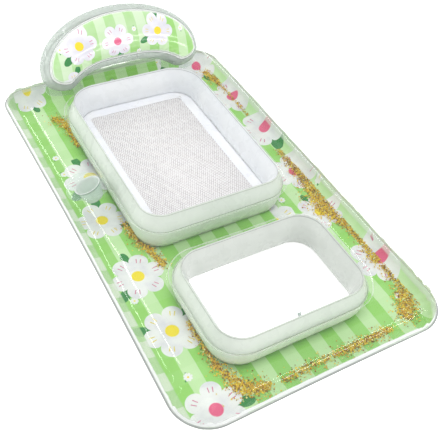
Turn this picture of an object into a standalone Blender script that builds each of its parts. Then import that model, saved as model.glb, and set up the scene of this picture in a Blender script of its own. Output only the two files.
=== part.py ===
"""Inflatable pool lounger.

A flat rounded ring with a crossbeam has a clear top sheet over a printed bottom sheet. Two raised collars
stand in it, round the mesh seat and round the leg opening. A crescent pillow is welded to the head end at its
two lobes, and a moulded cup holder sits in the left rail.

The frame is X across, +Y towards the head end and +Z up. The origin is on the underside, in the middle of
the crossbeam between the seat and the leg opening.
"""
import math

import bmesh
import bpy
from mathutils import Matrix, Vector

# Film, clearances and cuts
SHEET = 0.0005
GAP = 0.0003
OVERRUN = 0.020

# Ring outline at the outer seam
LENGTH = 1.750
WIDTH = 1.020
HEAD_CORNER_RADIUS = 0.125
FOOT_CORNER_RADIUS = 0.150
SEAM_FLANGE = 0.008
SEAM_HEIGHT = 0.055
CREST_HEIGHT = 0.130
UNDERSIDE_REACH = 0.045

# Rails and beams, measured from the seam to the collars' rim lines
SEAT_RAIL_WIDTH = 0.225
LEG_RAIL_WIDTH = 0.230
HEAD_BEAM_WIDTH = 0.205
FOOT_BEAM_WIDTH = 0.185
CROSSBEAM_WIDTH = 0.170

# Seat collar, measured on its rim line
SEAT_HEAD_RADIUS = 0.120
SEAT_FOOT_RADIUS = 0.080
SEAT_RIM_HEIGHT = 0.158

# Leg collar, measured on its rim line
LEG_LENGTH = 0.385
LEG_CORNER_RADIUS = 0.090
LEG_RIM_HEIGHT = 0.140

# Collar walls
OUTER_BULGE = 0.026
INNER_BULGE = 0.030
RIM_FLANGE = 0.004

# Mesh seat
BORDER_WIDTH = 0.046
BORDER_THICKNESS = 0.0008
BORDER_LAP = 0.010
BORDER_INNER_RADIUS = 0.015
MESH_THICKNESS = 0.0010
MESH_GAP = 0.016
MESH_STRAND = 0.018

# Pillow
PILLOW_HALF_WIDTH = 0.325
PILLOW_TIP_OFFSET = 0.262
PILLOW_SHOULDER = 0.045
PILLOW_CROWN_RISE = 0.195
PILLOW_ARCH_RISE = 0.074
PILLOW_ARCH_POWER = 2.6
PILLOW_TIP_RADIUS = 0.030
PILLOW_TIP_TURN = 45.0
PILLOW_GUSSET = 0.100
PILLOW_GUSSET_BULGE = 0.032
PILLOW_CROWN = 0.030
PILLOW_LEAN = 32.0
PILLOW_FROM_SEAM = 0.143
TAB_THICKNESS = 0.0008

# Cup holder
CUP_FROM_SEAM = 0.107
CUP_FROM_SEAT_FOOT = 0.275
CUP_RIM_RADIUS = 0.0465
CUP_BASE_RADIUS = 0.0360
CUP_DEPTH = 0.064
CUP_WALL = 0.0015
CUP_LIP = 0.004
CUP_RIM_STAND = 0.006
CUP_TILT_OUT = 21.0
CUP_TILT_HEAD = 16.0
CUP_WELD_WIDTH = 0.016
CUP_HOLE_EASE = 0.013

# Valves: every height is measured outward from the film's outer face
VALVE_FLANGE_RADIUS = 0.0140
VALVE_FLANGE_THICKNESS = 0.0010
VALVE_BORE_RADIUS = 0.0036
VALVE_STEM_RADIUS = 0.0056
VALVE_STEM_INSIDE = 0.0100
VALVE_LIP_RADIUS = 0.0095
VALVE_LIP_THICKNESS = 0.0020
VALVE_TRAVEL = 0.0080
VALVE_FLAP_THICKNESS = 0.0008
PLUG_CAP_RADIUS = 0.0065
PLUG_CAP_THICKNESS = 0.0012
PLUG_TIP_RADIUS = 0.0026
PLUG_LENGTH = 0.0030
PLUG_HINGE_OFFSET = 0.0088
PLUG_TONGUE_WIDTH = 0.0050
PLUG_TONGUE_END = 0.0004

# Loose flakes
DRIFT_HALF_THICKNESS = 0.0010

# Mesh counts
CORNER_STEPS = 6
SIDE_STEPS_ACROSS = 7
SIDE_STEPS_ALONG = 4
PILLOW_ARC_STEPS = 3
PILLOW_SPAN_STEPS = 15
PILLOW_GUSSET_STEPS = 8
ROUND_STEPS = 16
CUP_STEPS = 32
MESH_COLUMNS = 9
MESH_ROWS = 13

# Shares of the width of a rail, from the seam to the collar
CREST_SHARE = 0.45
TOP_ROW_SHARES = (0.03, 0.12, 0.28, 0.45, 0.68, 0.80, 0.90, 1.0)
BOTTOM_ROW_SHARES = (0.02, 0.12, 0.24, 1.0)

# Shares of a collar's height and of its bulge, from its foot to its rim
WALL_SHARES = ((0.0, 0.12), (0.32, 0.92), (0.60, 0.95), (0.90, 0.25), (1.0, 0.0))
MESH_LEVEL_INDEX = 1
WELD_LEVEL_INDEX = 2
VALVE_LEVEL_INDEX = 2
TAB_ROWS = (5, 6, 7, 8)

# Shares across the pillow, from its arch edge to its crown edge
PILLOW_ROW_SHARES = (0.0, 0.06, 0.19, 0.37, 0.63, 0.81, 0.94, 1.0)
PILLOW_FULLNESS_SHARE = 1.3

# Places of the flake drifts: centre, reach and width as shares of the half sizes, and a turn in degrees
DRIFT_SHARES = {
    "glitter_drift_head_left": (-0.62, 0.82, 0.11, 0.020, -35.0),
    "glitter_drift_left_rail": (-0.604, -0.08, 0.20, 0.014, -89.0),
    "glitter_drift_leg_left": (-0.59, -0.60, 0.18, 0.012, -90.0),
    "glitter_drift_foot_left": (-0.48, -0.855, 0.14, 0.020, -52.0),
    "glitter_drift_foot_beam": (0.26, -0.90, 0.46, 0.014, 0.0),
    "glitter_drift_foot_right": (0.81, -0.74, 0.14, 0.022, 88.0),
    "glitter_drift_right_rail": (0.815, -0.22, 0.70, 0.012, -90.0),
    "glitter_drift_head_right": (0.80, 0.77, 0.12, 0.017, -88.0),
}

COLLECTION_NAME = "inflatable_pool_lounger"
FRONT = -1.0
BACK = 1.0


def clear_scene():
    """Start from an empty scene."""
    for obj in list(bpy.data.objects):
        bpy.data.objects.remove(obj, do_unlink=True)


def new_collection(name):
    """Link a new collection to the scene."""
    group = bpy.data.collections.new(name)
    bpy.context.scene.collection.children.link(group)
    return group


def material(name, color, roughness, alpha=1.0):
    """A Principled material."""
    shader = bpy.data.materials.new(name)
    shader.use_nodes = True
    socket = shader.node_tree.nodes["Principled BSDF"].inputs
    socket["Base Color"].default_value = (*color, 1.0)
    socket["Roughness"].default_value = roughness
    socket["Metallic"].default_value = 0.0
    socket["Alpha"].default_value = alpha
    return shader


def add_object(name, mesh, shader, group):
    """A named object for a mesh."""
    obj = bpy.data.objects.new(name, mesh)
    mesh.materials.append(shader)
    group.objects.link(obj)
    return obj


def solidify(obj, thickness, offset=1.0):
    """Give an open surface its thickness; offset 1 grows it along the face normals."""
    modifier = obj.modifiers.new("Film", "SOLIDIFY")
    modifier.thickness = thickness
    modifier.offset = offset
    return modifier


def smooth(mesh):
    """Shade a mesh smooth below a 40 degree edge."""
    mesh.shade_smooth()
    mesh.set_sharp_from_angle(angle=math.radians(40.0))


def grid_mesh(name, rows, closed):
    """A surface through rows of points; closed joins each row's ends. Equal points are welded."""
    work = bmesh.new()
    verts = [[work.verts.new(point) for point in row] for row in rows]
    count = len(rows[0])
    for low, high in zip(verts, verts[1:]):
        for i in range(count if closed else count - 1):
            j = (i + 1) % count
            work.faces.new((low[i], low[j], high[j], high[i]))
    bmesh.ops.remove_doubles(work, verts=work.verts, dist=GAP / 10)
    bmesh.ops.dissolve_degenerate(work, edges=work.edges, dist=GAP / 10)
    mesh = bpy.data.meshes.new(name)
    work.to_mesh(mesh)
    work.free()
    smooth(mesh)
    return mesh


def film(name, rows, closed, shader, group, thickness=SHEET, offset=1.0):
    """A lofted film piece."""
    obj = add_object(name, grid_mesh(name, rows, closed), shader, group)
    solidify(obj, thickness, offset)
    return obj


def turned(name, profile, shader, group, steps=ROUND_STEPS):
    """A closed profile of (radius, height) points turned about Z."""
    work = bmesh.new()
    verts = [work.verts.new((radius, 0.0, height)) for radius, height in profile]
    for vert, following in zip(verts, verts[1:] + verts[:1]):
        if vert.co.x > 0.0 or following.co.x > 0.0:
            work.edges.new((vert, following))
    mesh = bpy.data.meshes.new(name)
    work.to_mesh(mesh)
    work.free()
    obj = add_object(name, mesh, shader, group)
    modifier = obj.modifiers.new("Turn", "SCREW")
    modifier.axis = "Z"
    modifier.steps = steps
    modifier.render_steps = steps
    modifier.use_merge_vertices = True
    modifier.merge_threshold = GAP / 10
    return obj


def disc(name, radius, bottom, top, shader, group, steps=ROUND_STEPS):
    """A flat round disc between two heights."""
    work = bmesh.new()
    bmesh.ops.create_cone(
        work,
        cap_ends=True,
        segments=steps,
        radius1=radius,
        radius2=radius,
        depth=top - bottom,
        matrix=Matrix.Translation((0.0, 0.0, (top + bottom) / 2)),
    )
    mesh = bpy.data.meshes.new(name)
    work.to_mesh(mesh)
    work.free()
    return add_object(name, mesh, shader, group)


def spoke(angle, square):
    """A unit circle's point, or the unit square's point in the same direction."""
    x, y = math.cos(angle), math.sin(angle)
    if square:
        reach = max(abs(x), abs(y))
        return x / reach, y / reach
    return x, y


def outline(half, foot, head, foot_radius, head_radius, square_foot=False, square_head=False):
    """Points round a rectangle with rounded corners, the same count for every size."""
    corners = (
        (half, head, head_radius, square_head),
        (-half, head, head_radius, square_head),
        (-half, foot, foot_radius, square_foot),
        (half, foot, foot_radius, square_foot),
    )
    arcs = []
    for k, (x, y, radius, square) in enumerate(corners):
        centre = Vector((x - math.copysign(radius, x), y - (radius if k < 2 else -radius)))
        turns = [math.radians(90.0) * (k + j / CORNER_STEPS) for j in range(CORNER_STEPS + 1)]
        arcs.append([centre + radius * Vector(spoke(turn, square)) for turn in turns])
    points = []
    for k, arc in enumerate(arcs):
        following = arcs[(k + 1) % 4][0]
        steps = SIDE_STEPS_ACROSS if k % 2 == 0 else SIDE_STEPS_ALONG
        points += arc
        points += [arc[-1].lerp(following, j / steps) for j in range(1, steps)]
    return points


def outline_distance(x, y, half, foot, head, foot_radius, head_radius):
    """Signed distance to a rounded rectangle: negative inside it."""
    middle = (foot + head) / 2
    radius = head_radius if y > middle else foot_radius
    across = abs(x) - (half - radius)
    along = abs(y - middle) - ((head - foot) / 2 - radius)
    outside = math.hypot(max(across, 0.0), max(along, 0.0))
    return min(max(across, along), 0.0) + outside - radius


class Collar:
    """A raised wall round an opening, by its rim line and height."""

    def __init__(self, sizes, height):
        self.sizes = sizes
        self.height = height
        self.weld_height = height * WALL_SHARES[WELD_LEVEL_INDEX][0]

    def grown(self, grow):
        """The rim line's sizes moved outward by grow."""
        half, foot, head, foot_radius, head_radius = self.sizes
        return half + grow, foot - grow, head + grow, foot_radius + grow, head_radius + grow

    def loop(self, grow):
        """Points round the collar, moved outward by grow."""
        return outline(*self.grown(grow))

    def distance(self, x, y):
        """Distance outward from the line where the top sheet is welded on."""
        return max(outline_distance(x, y, *self.grown(WELD_GROW)), 0.0)


WELD_GROW = OUTER_BULGE * WALL_SHARES[WELD_LEVEL_INDEX][1] + 2 * SHEET + GAP
SEAT_HALF_WIDTH = WIDTH / 2 - SEAT_RAIL_WIDTH
LEG_HALF_WIDTH = WIDTH / 2 - LEG_RAIL_WIDTH
SEAT_HEAD_END = LENGTH / 2 - HEAD_BEAM_WIDTH
LEG_FOOT_END = FOOT_BEAM_WIDTH - LENGTH / 2
LEG_HEAD_END = LEG_FOOT_END + LEG_LENGTH
SEAT_FOOT_END = LEG_HEAD_END + CROSSBEAM_WIDTH
CUP_X = CUP_FROM_SEAM - WIDTH / 2
CUP_Y = SEAT_FOOT_END + CUP_FROM_SEAT_FOOT
SEAT_SIZES = (SEAT_HALF_WIDTH, SEAT_FOOT_END, SEAT_HEAD_END, SEAT_FOOT_RADIUS, SEAT_HEAD_RADIUS)
LEG_SIZES = (LEG_HALF_WIDTH, LEG_FOOT_END, LEG_HEAD_END, LEG_CORNER_RADIUS, LEG_CORNER_RADIUS)
SEAT = Collar(SEAT_SIZES, SEAT_RIM_HEIGHT)
LEG = Collar(LEG_SIZES, LEG_RIM_HEIGHT)
SPLIT = (SEAT_FOOT_END + LEG_HEAD_END) / 2
RING_SIZES = (WIDTH / 2, -LENGTH / 2, LENGTH / 2, FOOT_CORNER_RADIUS, HEAD_CORNER_RADIUS)


def inside_seam(x, y):
    """Distance inward from the seam flange's inner line."""
    return max(-outline_distance(x, y, *RING_SIZES) - SEAM_FLANGE, 0.0)


def arch(share):
    """Height share of a quarter ellipse, 0 at its foot and 1 at its crest."""
    return math.sqrt(max(1.0 - (1.0 - share) ** 2, 0.0))


def top_height(x, y):
    """Height of the top sheet's inner face."""
    seam = SEAM_HEIGHT + GAP
    out = inside_seam(x, y)
    seat, leg = SEAT.distance(x, y), LEG.distance(x, y)
    weld = (SEAT.weld_height * leg + LEG.weld_height * seat) / (seat + leg)
    share = out / (out + min(seat, leg))
    if share < CREST_SHARE:
        return seam + (CREST_HEIGHT - seam) * arch(share / CREST_SHARE)
    return weld + (CREST_HEIGHT - weld) * arch((1.0 - share) / (1.0 - CREST_SHARE))


def bottom_height(x, y):
    """Height of the bottom sheet's outer face, flat on the floor and turned up to the seam."""
    share = min(inside_seam(x, y) / UNDERSIDE_REACH, 1.0)
    return (SEAM_HEIGHT - SHEET) * (1.0 - arch(share))


def ring_boundaries():
    """The ring's outline in two loops, one for each collar, that share the crossbeam's middle line."""
    half, foot, head, foot_radius, head_radius = RING_SIZES
    joint_radius = foot_radius / 2
    seat = outline(half, SPLIT, head, joint_radius, head_radius, square_foot=True)
    leg = outline(half, foot, SPLIT, foot_radius, joint_radius, square_head=True)
    return seat, leg


def rail_rows(boundary, hole, shares, height):
    """Rows of points from a boundary, over its seam flange, to a collar's line."""
    rows = [[], []] + [[] for _ in shares]
    for edge, end in zip(boundary, hole):
        inward = end - edge
        inner = edge + inward.normalized() * SEAM_FLANGE
        places = [edge, inner] + [inner.lerp(end, share) for share in shares]
        for row, place in zip(rows, places):
            row.append((place.x, place.y, height(place.x, place.y)))
    return rows


def ring_sheet(name, grow, shares, height, shader, group):
    """A ring sheet, in two halves that meet on the crossbeam's middle line."""
    work = bmesh.new()
    for collar, boundary in zip((SEAT, LEG), ring_boundaries()):
        half = grid_mesh(name, rail_rows(boundary, collar.loop(grow), shares, height), True)
        work.from_mesh(half)
        bpy.data.meshes.remove(half)
    bmesh.ops.remove_doubles(work, verts=work.verts, dist=GAP / 10)
    bmesh.ops.recalc_face_normals(work, faces=work.faces)
    if sum(face.normal.z for face in work.faces) < 0.0:
        bmesh.ops.reverse_faces(work, faces=work.faces)
    mesh = bpy.data.meshes.new(name)
    work.to_mesh(mesh)
    work.free()
    smooth(mesh)
    obj = add_object(name, mesh, shader, group)
    solidify(obj, SHEET)
    return obj


def wall_rows(collar, side, bulge):
    """Rows of a collar's wall from its foot to its rim flange; side is 1 for outer and -1 for inner."""
    foot = SHEET + GAP
    rows = []
    for height_share, bulge_share in WALL_SHARES:
        grow = side * (bulge * bulge_share + GAP / 2)
        height = foot + (collar.height - foot) * height_share
        rows.append([(p.x, p.y, height) for p in collar.loop(grow)])
    rows.append([(x, y, z + RIM_FLANGE) for x, y, z in rows[-1]])
    return rows


def wall_point(collar, side, bulge, share):
    """Outward growth and height at a share of the way up the valve's station on a wall."""
    low, high = WALL_SHARES[VALVE_LEVEL_INDEX], WALL_SHARES[VALVE_LEVEL_INDEX + 1]
    foot = SHEET + GAP
    height = foot + (collar.height - foot) * (low[0] + (high[0] - low[0]) * share)
    grow = side * (bulge * (low[1] + (high[1] - low[1]) * share) + GAP / 2)
    return grow, height


def cut(obj, cutter, operation="DIFFERENCE"):
    """Cut or join an object with another, which becomes a hidden guide."""
    modifier = obj.modifiers.new("Cut", "BOOLEAN")
    modifier.operation = operation
    modifier.object = cutter
    modifier.solver = "EXACT"
    cutter.hide_render = True
    cutter.display_type = "WIRE"


def build_ring(shaders, group):
    """The clear top sheet and the printed bottom sheet."""
    top = ring_sheet("ring_top_sheet", WELD_GROW, TOP_ROW_SHARES, top_height, shaders["clear"], group)
    foot = -OUTER_BULGE * WALL_SHARES[0][1]
    bottom = ring_sheet("ring_bottom_sheet", foot, BOTTOM_ROW_SHARES, bottom_height, shaders["print"], group)
    return top, bottom


def build_collars(shaders, group):
    """The two walls of each collar."""
    pieces = {}
    for name, collar in (("seat", SEAT), ("leg", LEG)):
        for part, side, bulge in (("outer", 1.0, OUTER_BULGE), ("inner", -1.0, INNER_BULGE)):
            label = f"{name}_collar_{part}_wall"
            rows = wall_rows(collar, side, bulge)
            pieces[label] = film(label, rows, True, shaders["collar"], group, SHEET, side)
    return pieces


def build_mesh_seat(shaders, group):
    """The perforated seat panel under its solid border."""
    height_share, bulge_share = WALL_SHARES[MESH_LEVEL_INDEX]
    grow = -(INNER_BULGE * bulge_share + SHEET + 3 * GAP)
    height = SHEET + GAP + (SEAT_RIM_HEIGHT - SHEET - GAP) * height_share
    outer = SEAT.loop(grow)
    half, foot, head = SEAT.grown(grow - BORDER_WIDTH)[:3]
    inner = outline(half, foot, head, BORDER_INNER_RADIUS, BORDER_INNER_RADIUS)
    rows = [[(p.x, p.y, height) for p in loop] for loop in (inner, outer)]
    film("mesh_border", rows, True, shaders["border"], group, BORDER_THICKNESS, -1.0)
    net = net_mesh("seat_mesh", half + BORDER_LAP, foot - BORDER_LAP, head + BORDER_LAP)
    panel = add_object("seat_mesh", net, shaders["mesh"], group)
    panel.location = (0.0, 0.0, height - GAP)
    solidify(panel, MESH_THICKNESS, -1.0)


def net_lines(low, high, count):
    """Edges of the strands and gaps between two ends, with the gaps centred."""
    pitch = MESH_GAP + MESH_STRAND
    room = (high - low) / (count * pitch + MESH_STRAND)
    lines = [low]
    for k in range(count):
        start = low + room * (MESH_STRAND + k * pitch)
        lines += [start, start + room * MESH_GAP]
    return lines + [high]


def net_mesh(name, half, foot, head):
    """A flat panel with a grid of gaps."""
    across = net_lines(-half, half, MESH_COLUMNS)
    along = net_lines(foot, head, MESH_ROWS)
    work = bmesh.new()
    verts = [[work.verts.new((x, y, 0.0)) for x in across] for y in along]
    for j in range(len(along) - 1):
        for i in range(len(across) - 1):
            if i % 2 == 1 and j % 2 == 1:
                continue
            work.faces.new((verts[j][i], verts[j][i + 1], verts[j + 1][i + 1], verts[j + 1][i]))
    mesh = bpy.data.meshes.new(name)
    work.to_mesh(mesh)
    work.free()
    return mesh


def pillow_edges():
    """Points of the pillow's crown edge and arch edge, from the left lobe's tip to the right lobe's."""
    tip, shoulder = PILLOW_TIP_OFFSET, PILLOW_SHOULDER
    crown, inner = [], []
    for j in range(PILLOW_ARC_STEPS):
        turn = math.radians(90.0) * j / PILLOW_ARC_STEPS
        crown.append((-tip - (PILLOW_HALF_WIDTH - tip) * math.sin(turn), shoulder * (1.0 - math.cos(turn))))
        inner.append(tip_point(PILLOW_TIP_TURN * j / PILLOW_ARC_STEPS))
    crown_end, inner_end = mirrored(crown), mirrored(inner)
    reach, foot = tip_point(PILLOW_TIP_TURN)
    for j in range(PILLOW_SPAN_STEPS + 1):
        turn = math.radians(180.0) * (1.0 - j / PILLOW_SPAN_STEPS)
        crown.append((PILLOW_HALF_WIDTH * math.cos(turn), shoulder + PILLOW_CROWN_RISE * math.sin(turn)))
        share = 1.0 - 2.0 * j / PILLOW_SPAN_STEPS
        rise = (PILLOW_ARCH_RISE - foot) * (1.0 - abs(share) ** PILLOW_ARCH_POWER)
        inner.append((reach * share, foot + rise))
    return crown + crown_end, inner + inner_end


def tip_point(degrees):
    """A point on the left lobe's rounded tip, on its arch side."""
    turn = math.radians(degrees)
    return PILLOW_TIP_RADIUS * math.sin(turn) - PILLOW_TIP_OFFSET, PILLOW_TIP_RADIUS * (1.0 - math.cos(turn))


def mirrored(points):
    """The same points on the other side, in reverse order."""
    return [(-x, z) for x, z in reversed(points)]


def pillow_face_rows(side):
    """Rows of the pillow's front or back sheet, crowned in the middle and drawn in at its edge."""
    crown, inner = pillow_edges()
    widths = [math.dist(a, b) for a, b in zip(crown, inner)]
    rows = []
    for (ax, az), (bx, bz), width in zip(inner, crown, widths):
        fullness = (width / max(widths)) ** PILLOW_FULLNESS_SHARE
        row = []
        for share in PILLOW_ROW_SHARES:
            depth = PILLOW_CROWN * fullness * math.sqrt(max(1.0 - (2.0 * share - 1.0) ** 2, 0.0))
            y = side * (PILLOW_GUSSET / 2 + SHEET + GAP + depth)
            row.append((ax + (bx - ax) * share, y, az + (bz - az) * share + pillow_base()))
        rows.append(row)
    return rows


def gusset_radius():
    """Radius of the gusset band's round section."""
    return (PILLOW_GUSSET ** 2 / 4 + PILLOW_GUSSET_BULGE ** 2) / (2 * PILLOW_GUSSET_BULGE)


def pillow_base():
    """Height of the lobes' edge from the tilt axis, which is the middle of the gusset's round section."""
    return PILLOW_GUSSET_BULGE - gusset_radius()


def gusset_stations():
    """Depths and bulges across the gusset band."""
    radius = gusset_radius()
    half = math.asin(PILLOW_GUSSET / 2 / radius)
    turns = [half * (2 * k / PILLOW_GUSSET_STEPS - 1.0) for k in range(PILLOW_GUSSET_STEPS + 1)]
    return [(radius * math.sin(turn), radius * (math.cos(turn) - math.cos(half))) for turn in turns]


def gusset_rows():
    """Rows of the gusset band from the front edge to the back edge, bulged in the middle."""
    crown, inner = pillow_edges()
    loop = [Vector(p) for p in crown[:-1] + inner[:0:-1]]
    rows = []
    for depth, bulge in gusset_stations():
        row = []
        for k, point in enumerate(loop):
            along = (loop[(k + 1) % len(loop)] - loop[k - 1]).normalized()
            place = point + Vector((-along.y, along.x)) * bulge
            row.append((place.x, depth, place.y + pillow_base()))
        rows.append(row)
    return rows


def pillow_axis_point():
    """The tilt axis, where the lobes' round section just rests on the weld patches at any lean."""
    along = LENGTH / 2 - PILLOW_FROM_SEAM
    reach = gusset_radius() + SHEET
    heights = []
    for degrees in range(-60, 61, 5):
        turn = math.radians(degrees)
        top = top_height(PILLOW_TIP_OFFSET, along + reach * math.sin(turn))
        heights.append(top + reach * math.cos(turn))
    return Vector((0.0, along, max(heights) + SHEET + tab_lift() + TAB_THICKNESS))


def tab_lift():
    """Rise of a weld patch over the top sheet, which covers the sheet's slope."""
    return 2 * GAP


def add_empty(name, place, group):
    """An empty that carries moving pieces."""
    empty = bpy.data.objects.new(name, None)
    empty.location = place
    group.objects.link(empty)
    return empty


def build_pillow(shaders, guides, group):
    """The pillow's three films, on an empty at the tilt axis, and the two weld patches under it."""
    hinge = add_empty("pillow_axis", pillow_axis_point(), guides)
    hinge.rotation_euler = (-math.radians(PILLOW_LEAN), 0.0, 0.0)
    front = film("pillow_front_sheet", pillow_face_rows(FRONT), False, shaders["print"], group, SHEET, FRONT)
    back = film("pillow_back_sheet", pillow_face_rows(BACK), False, shaders["clear"], group, SHEET, BACK)
    gusset = film("pillow_gusset", gusset_rows(), True, shaders["clear"], group)
    for piece in (front, back, gusset):
        piece.parent = hinge
    for name, side in (("pillow_left_tab", -1.0), ("pillow_right_tab", 1.0)):
        build_tab(name, side, shaders, group)
    return hinge, back


def tab_columns(side):
    """Columns of the top sheet that pass under a lobe."""
    start = CORNER_STEPS - 2 if side > 0 else CORNER_STEPS + SIDE_STEPS_ACROSS
    return range(start, start + 3)


def build_tab(name, side, shaders, group):
    """A weld patch that follows the top sheet's own rows under one lobe."""
    boundary = ring_boundaries()[0]
    rows = rail_rows(boundary, SEAT.loop(WELD_GROW), TOP_ROW_SHARES, top_height)
    lift = Vector((0.0, 0.0, SHEET + tab_lift()))
    patch = [[tuple(Vector(rows[r][c]) + lift) for c in tab_columns(side)] for r in TAB_ROWS]
    film(name, patch, False, shaders["clear"], group, TAB_THICKNESS)


def cup_axis():
    """The cup's axis, leaning outward and towards the head."""
    lean = Vector((-math.tan(math.radians(CUP_TILT_OUT)), math.tan(math.radians(CUP_TILT_HEAD)), 1.0))
    return lean.normalized()


def cup_centre():
    """The centre of the cup's rim."""
    return Vector((CUP_X, CUP_Y, top_height(CUP_X, CUP_Y) + CUP_RIM_STAND))


def build_cup(top, shaders, guides, group):
    """The cup, the film ring that joins it to the top sheet, and the sheet's hole."""
    wall, lip = CUP_WALL, CUP_LIP
    profile = (
        (CUP_RIM_RADIUS + lip, 0.0),
        (CUP_RIM_RADIUS + lip, -wall),
        (CUP_RIM_RADIUS, -wall),
        (CUP_BASE_RADIUS, -CUP_DEPTH),
        (0.0, -CUP_DEPTH),
        (0.0, wall - CUP_DEPTH),
        (CUP_BASE_RADIUS - wall, wall - CUP_DEPTH),
        (CUP_RIM_RADIUS - wall, 0.0),
    )
    cup = turned("cup_holder", profile, shaders["cup"], group, CUP_STEPS)
    turn = Vector((0.0, 0.0, 1.0)).rotation_difference(cup_axis())
    cup.rotation_mode = "QUATERNION"
    cup.rotation_quaternion = turn
    cup.location = cup_centre()
    build_cup_weld(turn, shaders, group)
    radius = CUP_RIM_RADIUS + CUP_HOLE_EASE
    hole = disc("cup_hole", radius, -OVERRUN, OVERRUN, shaders["clear"], guides, CUP_STEPS)
    hole.location = (CUP_X, CUP_Y, top_height(CUP_X, CUP_Y))
    cut(top, hole)


def build_cup_weld(turn, shaders, group):
    """A film ring from under the cup's lip out to the top sheet."""
    centre = cup_centre()
    under = -CUP_WALL - GAP - SHEET
    neck = CUP_RIM_RADIUS + (CUP_BASE_RADIUS - CUP_RIM_RADIUS) * (under + SHEET) / -CUP_DEPTH + GAP + GAP
    step = CUP_RIM_RADIUS + CUP_HOLE_EASE - 3 * GAP
    rows = [[], [], [], []]
    for k in range(CUP_STEPS):
        angle = math.radians(360.0) * k / CUP_STEPS
        flat = Vector((math.cos(angle), math.sin(angle), 0.0))
        near = centre + turn @ (flat * neck + Vector((0.0, 0.0, under)))
        edge = centre + turn @ (flat * (CUP_RIM_RADIUS + CUP_LIP + 5 * GAP) + Vector((0.0, 0.0, under)))
        over, far = [Vector((CUP_X, CUP_Y, 0.0)) + flat * reach for reach in (step, step + CUP_WELD_WIDTH)]
        for place in (over, far):
            place.z = top_height(place.x, place.y) + SHEET + 5 * GAP
        for row, place in zip(rows, (near, edge, over, far)):
            row.append(tuple(place))
    film("cup_holder_weld_ring", rows, True, shaders["clear"], group, SHEET, -1.0)


def valve_frame(origin, outward, across):
    """A matrix with its Z along the film's outward normal and its X across."""
    z = outward.normalized()
    x = (across - z * across.dot(z)).normalized()
    y = z.cross(x)
    return Matrix.Translation(origin) @ Matrix((x, y, z)).transposed().to_4x4()


def valve_heights():
    """Heights of the valve's main levels over the film's outer face."""
    flange_top = GAP + VALVE_FLANGE_THICKNESS
    lip_bottom = flange_top + VALVE_TRAVEL + GAP
    return flange_top, lip_bottom, lip_bottom + VALVE_LIP_THICKNESS


def build_valve(name, frame, carrier, sheet, shaders, guides, group):
    """One valve: base disc, sliding stem, plug on its tongue and check flap. A carrier's frame is its own."""
    flange_top, lip_bottom, lip_top = valve_heights()
    hole_radius = VALVE_STEM_RADIUS + GAP
    flange_profile = (
        (VALVE_FLANGE_RADIUS, flange_top),
        (VALVE_FLANGE_RADIUS, GAP),
        (hole_radius, GAP),
        (hole_radius, flange_top),
    )
    stem_profile = (
        (VALVE_LIP_RADIUS, lip_top),
        (VALVE_LIP_RADIUS, lip_bottom),
        (VALVE_STEM_RADIUS, lip_bottom),
        (VALVE_STEM_RADIUS, -VALVE_STEM_INSIDE),
        (VALVE_BORE_RADIUS, -VALVE_STEM_INSIDE),
        (VALVE_BORE_RADIUS, lip_top),
    )
    pieces = [
        turned(f"{name}_valve_flange", flange_profile, shaders["valve"], group),
        turned(f"{name}_valve_stem", stem_profile, shaders["valve"], group),
    ]
    for piece in pieces:
        piece.matrix_basis = frame
    plug = build_plug(f"{name}_valve_plug", frame, lip_top, shaders, guides, group)
    flap = build_flap(f"{name}_valve_flap", frame, shaders, group)
    pieces += [plug, flap]
    hole = disc(f"{name}_valve_hole", hole_radius, -OVERRUN / 4, OVERRUN / 4, shaders["valve"], guides)
    hole.matrix_basis = frame
    cut(sheet, hole)
    for piece in pieces + [hole]:
        piece.parent = carrier


def build_plug(name, frame, lip_top, shaders, guides, group):
    """The plug: cap, tapered stopper and hinge tongue, with its origin on the hinge axis."""
    seat = lip_top + GAP
    axis_height = seat + PLUG_CAP_THICKNESS / 2
    shift = Matrix.Translation((-PLUG_HINGE_OFFSET, 0.0, -axis_height))
    profile = (
        (0.0, seat + PLUG_CAP_THICKNESS),
        (PLUG_CAP_RADIUS, seat + PLUG_CAP_THICKNESS),
        (PLUG_CAP_RADIUS, seat),
        (VALVE_BORE_RADIUS - GAP, seat),
        (PLUG_TIP_RADIUS, seat - PLUG_LENGTH),
        (0.0, seat - PLUG_LENGTH),
    )
    plug = turned(name, profile, shaders["valve"], group)
    tongue = tongue_box(f"{name}_tongue", seat, shaders, guides)
    solid = bpy.data.meshes.new_from_object(plug.evaluated_get(bpy.context.evaluated_depsgraph_get()))
    plug.modifiers.clear()
    plug.data = solid
    plug.data.transform(shift)
    tongue.data.transform(shift)
    plug.matrix_basis = frame @ shift.inverted()
    tongue.parent = plug
    cut(plug, tongue, "UNION")
    return plug


def tongue_box(name, seat, shaders, guides):
    """The plug's flat tongue, from inside the cap to just past the hinge axis."""
    start = PLUG_CAP_RADIUS / 2
    end = PLUG_HINGE_OFFSET + PLUG_TONGUE_END
    size = Vector((end - start, PLUG_TONGUE_WIDTH, PLUG_CAP_THICKNESS))
    centre = Vector(((start + end) / 2, 0.0, seat + PLUG_CAP_THICKNESS / 2))
    work = bmesh.new()
    bmesh.ops.create_cube(work, size=1.0, matrix=Matrix.Translation(centre) @ Matrix.Diagonal(size).to_4x4())
    mesh = bpy.data.meshes.new(name)
    work.to_mesh(mesh)
    work.free()
    return add_object(name, mesh, shaders["valve"], guides)


def build_flap(name, frame, shaders, group):
    """The check flap over the stem's inner end, with its origin on its hinge axis at the rim."""
    top = -VALVE_STEM_INSIDE - GAP
    hinge = Matrix.Translation((VALVE_STEM_RADIUS, 0.0, top - VALVE_FLAP_THICKNESS / 2))
    flap = disc(name, VALVE_STEM_RADIUS, top - VALVE_FLAP_THICKNESS, top, shaders["flap"], group)
    flap.data.transform(hinge.inverted())
    flap.matrix_basis = frame @ hinge
    return flap


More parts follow.
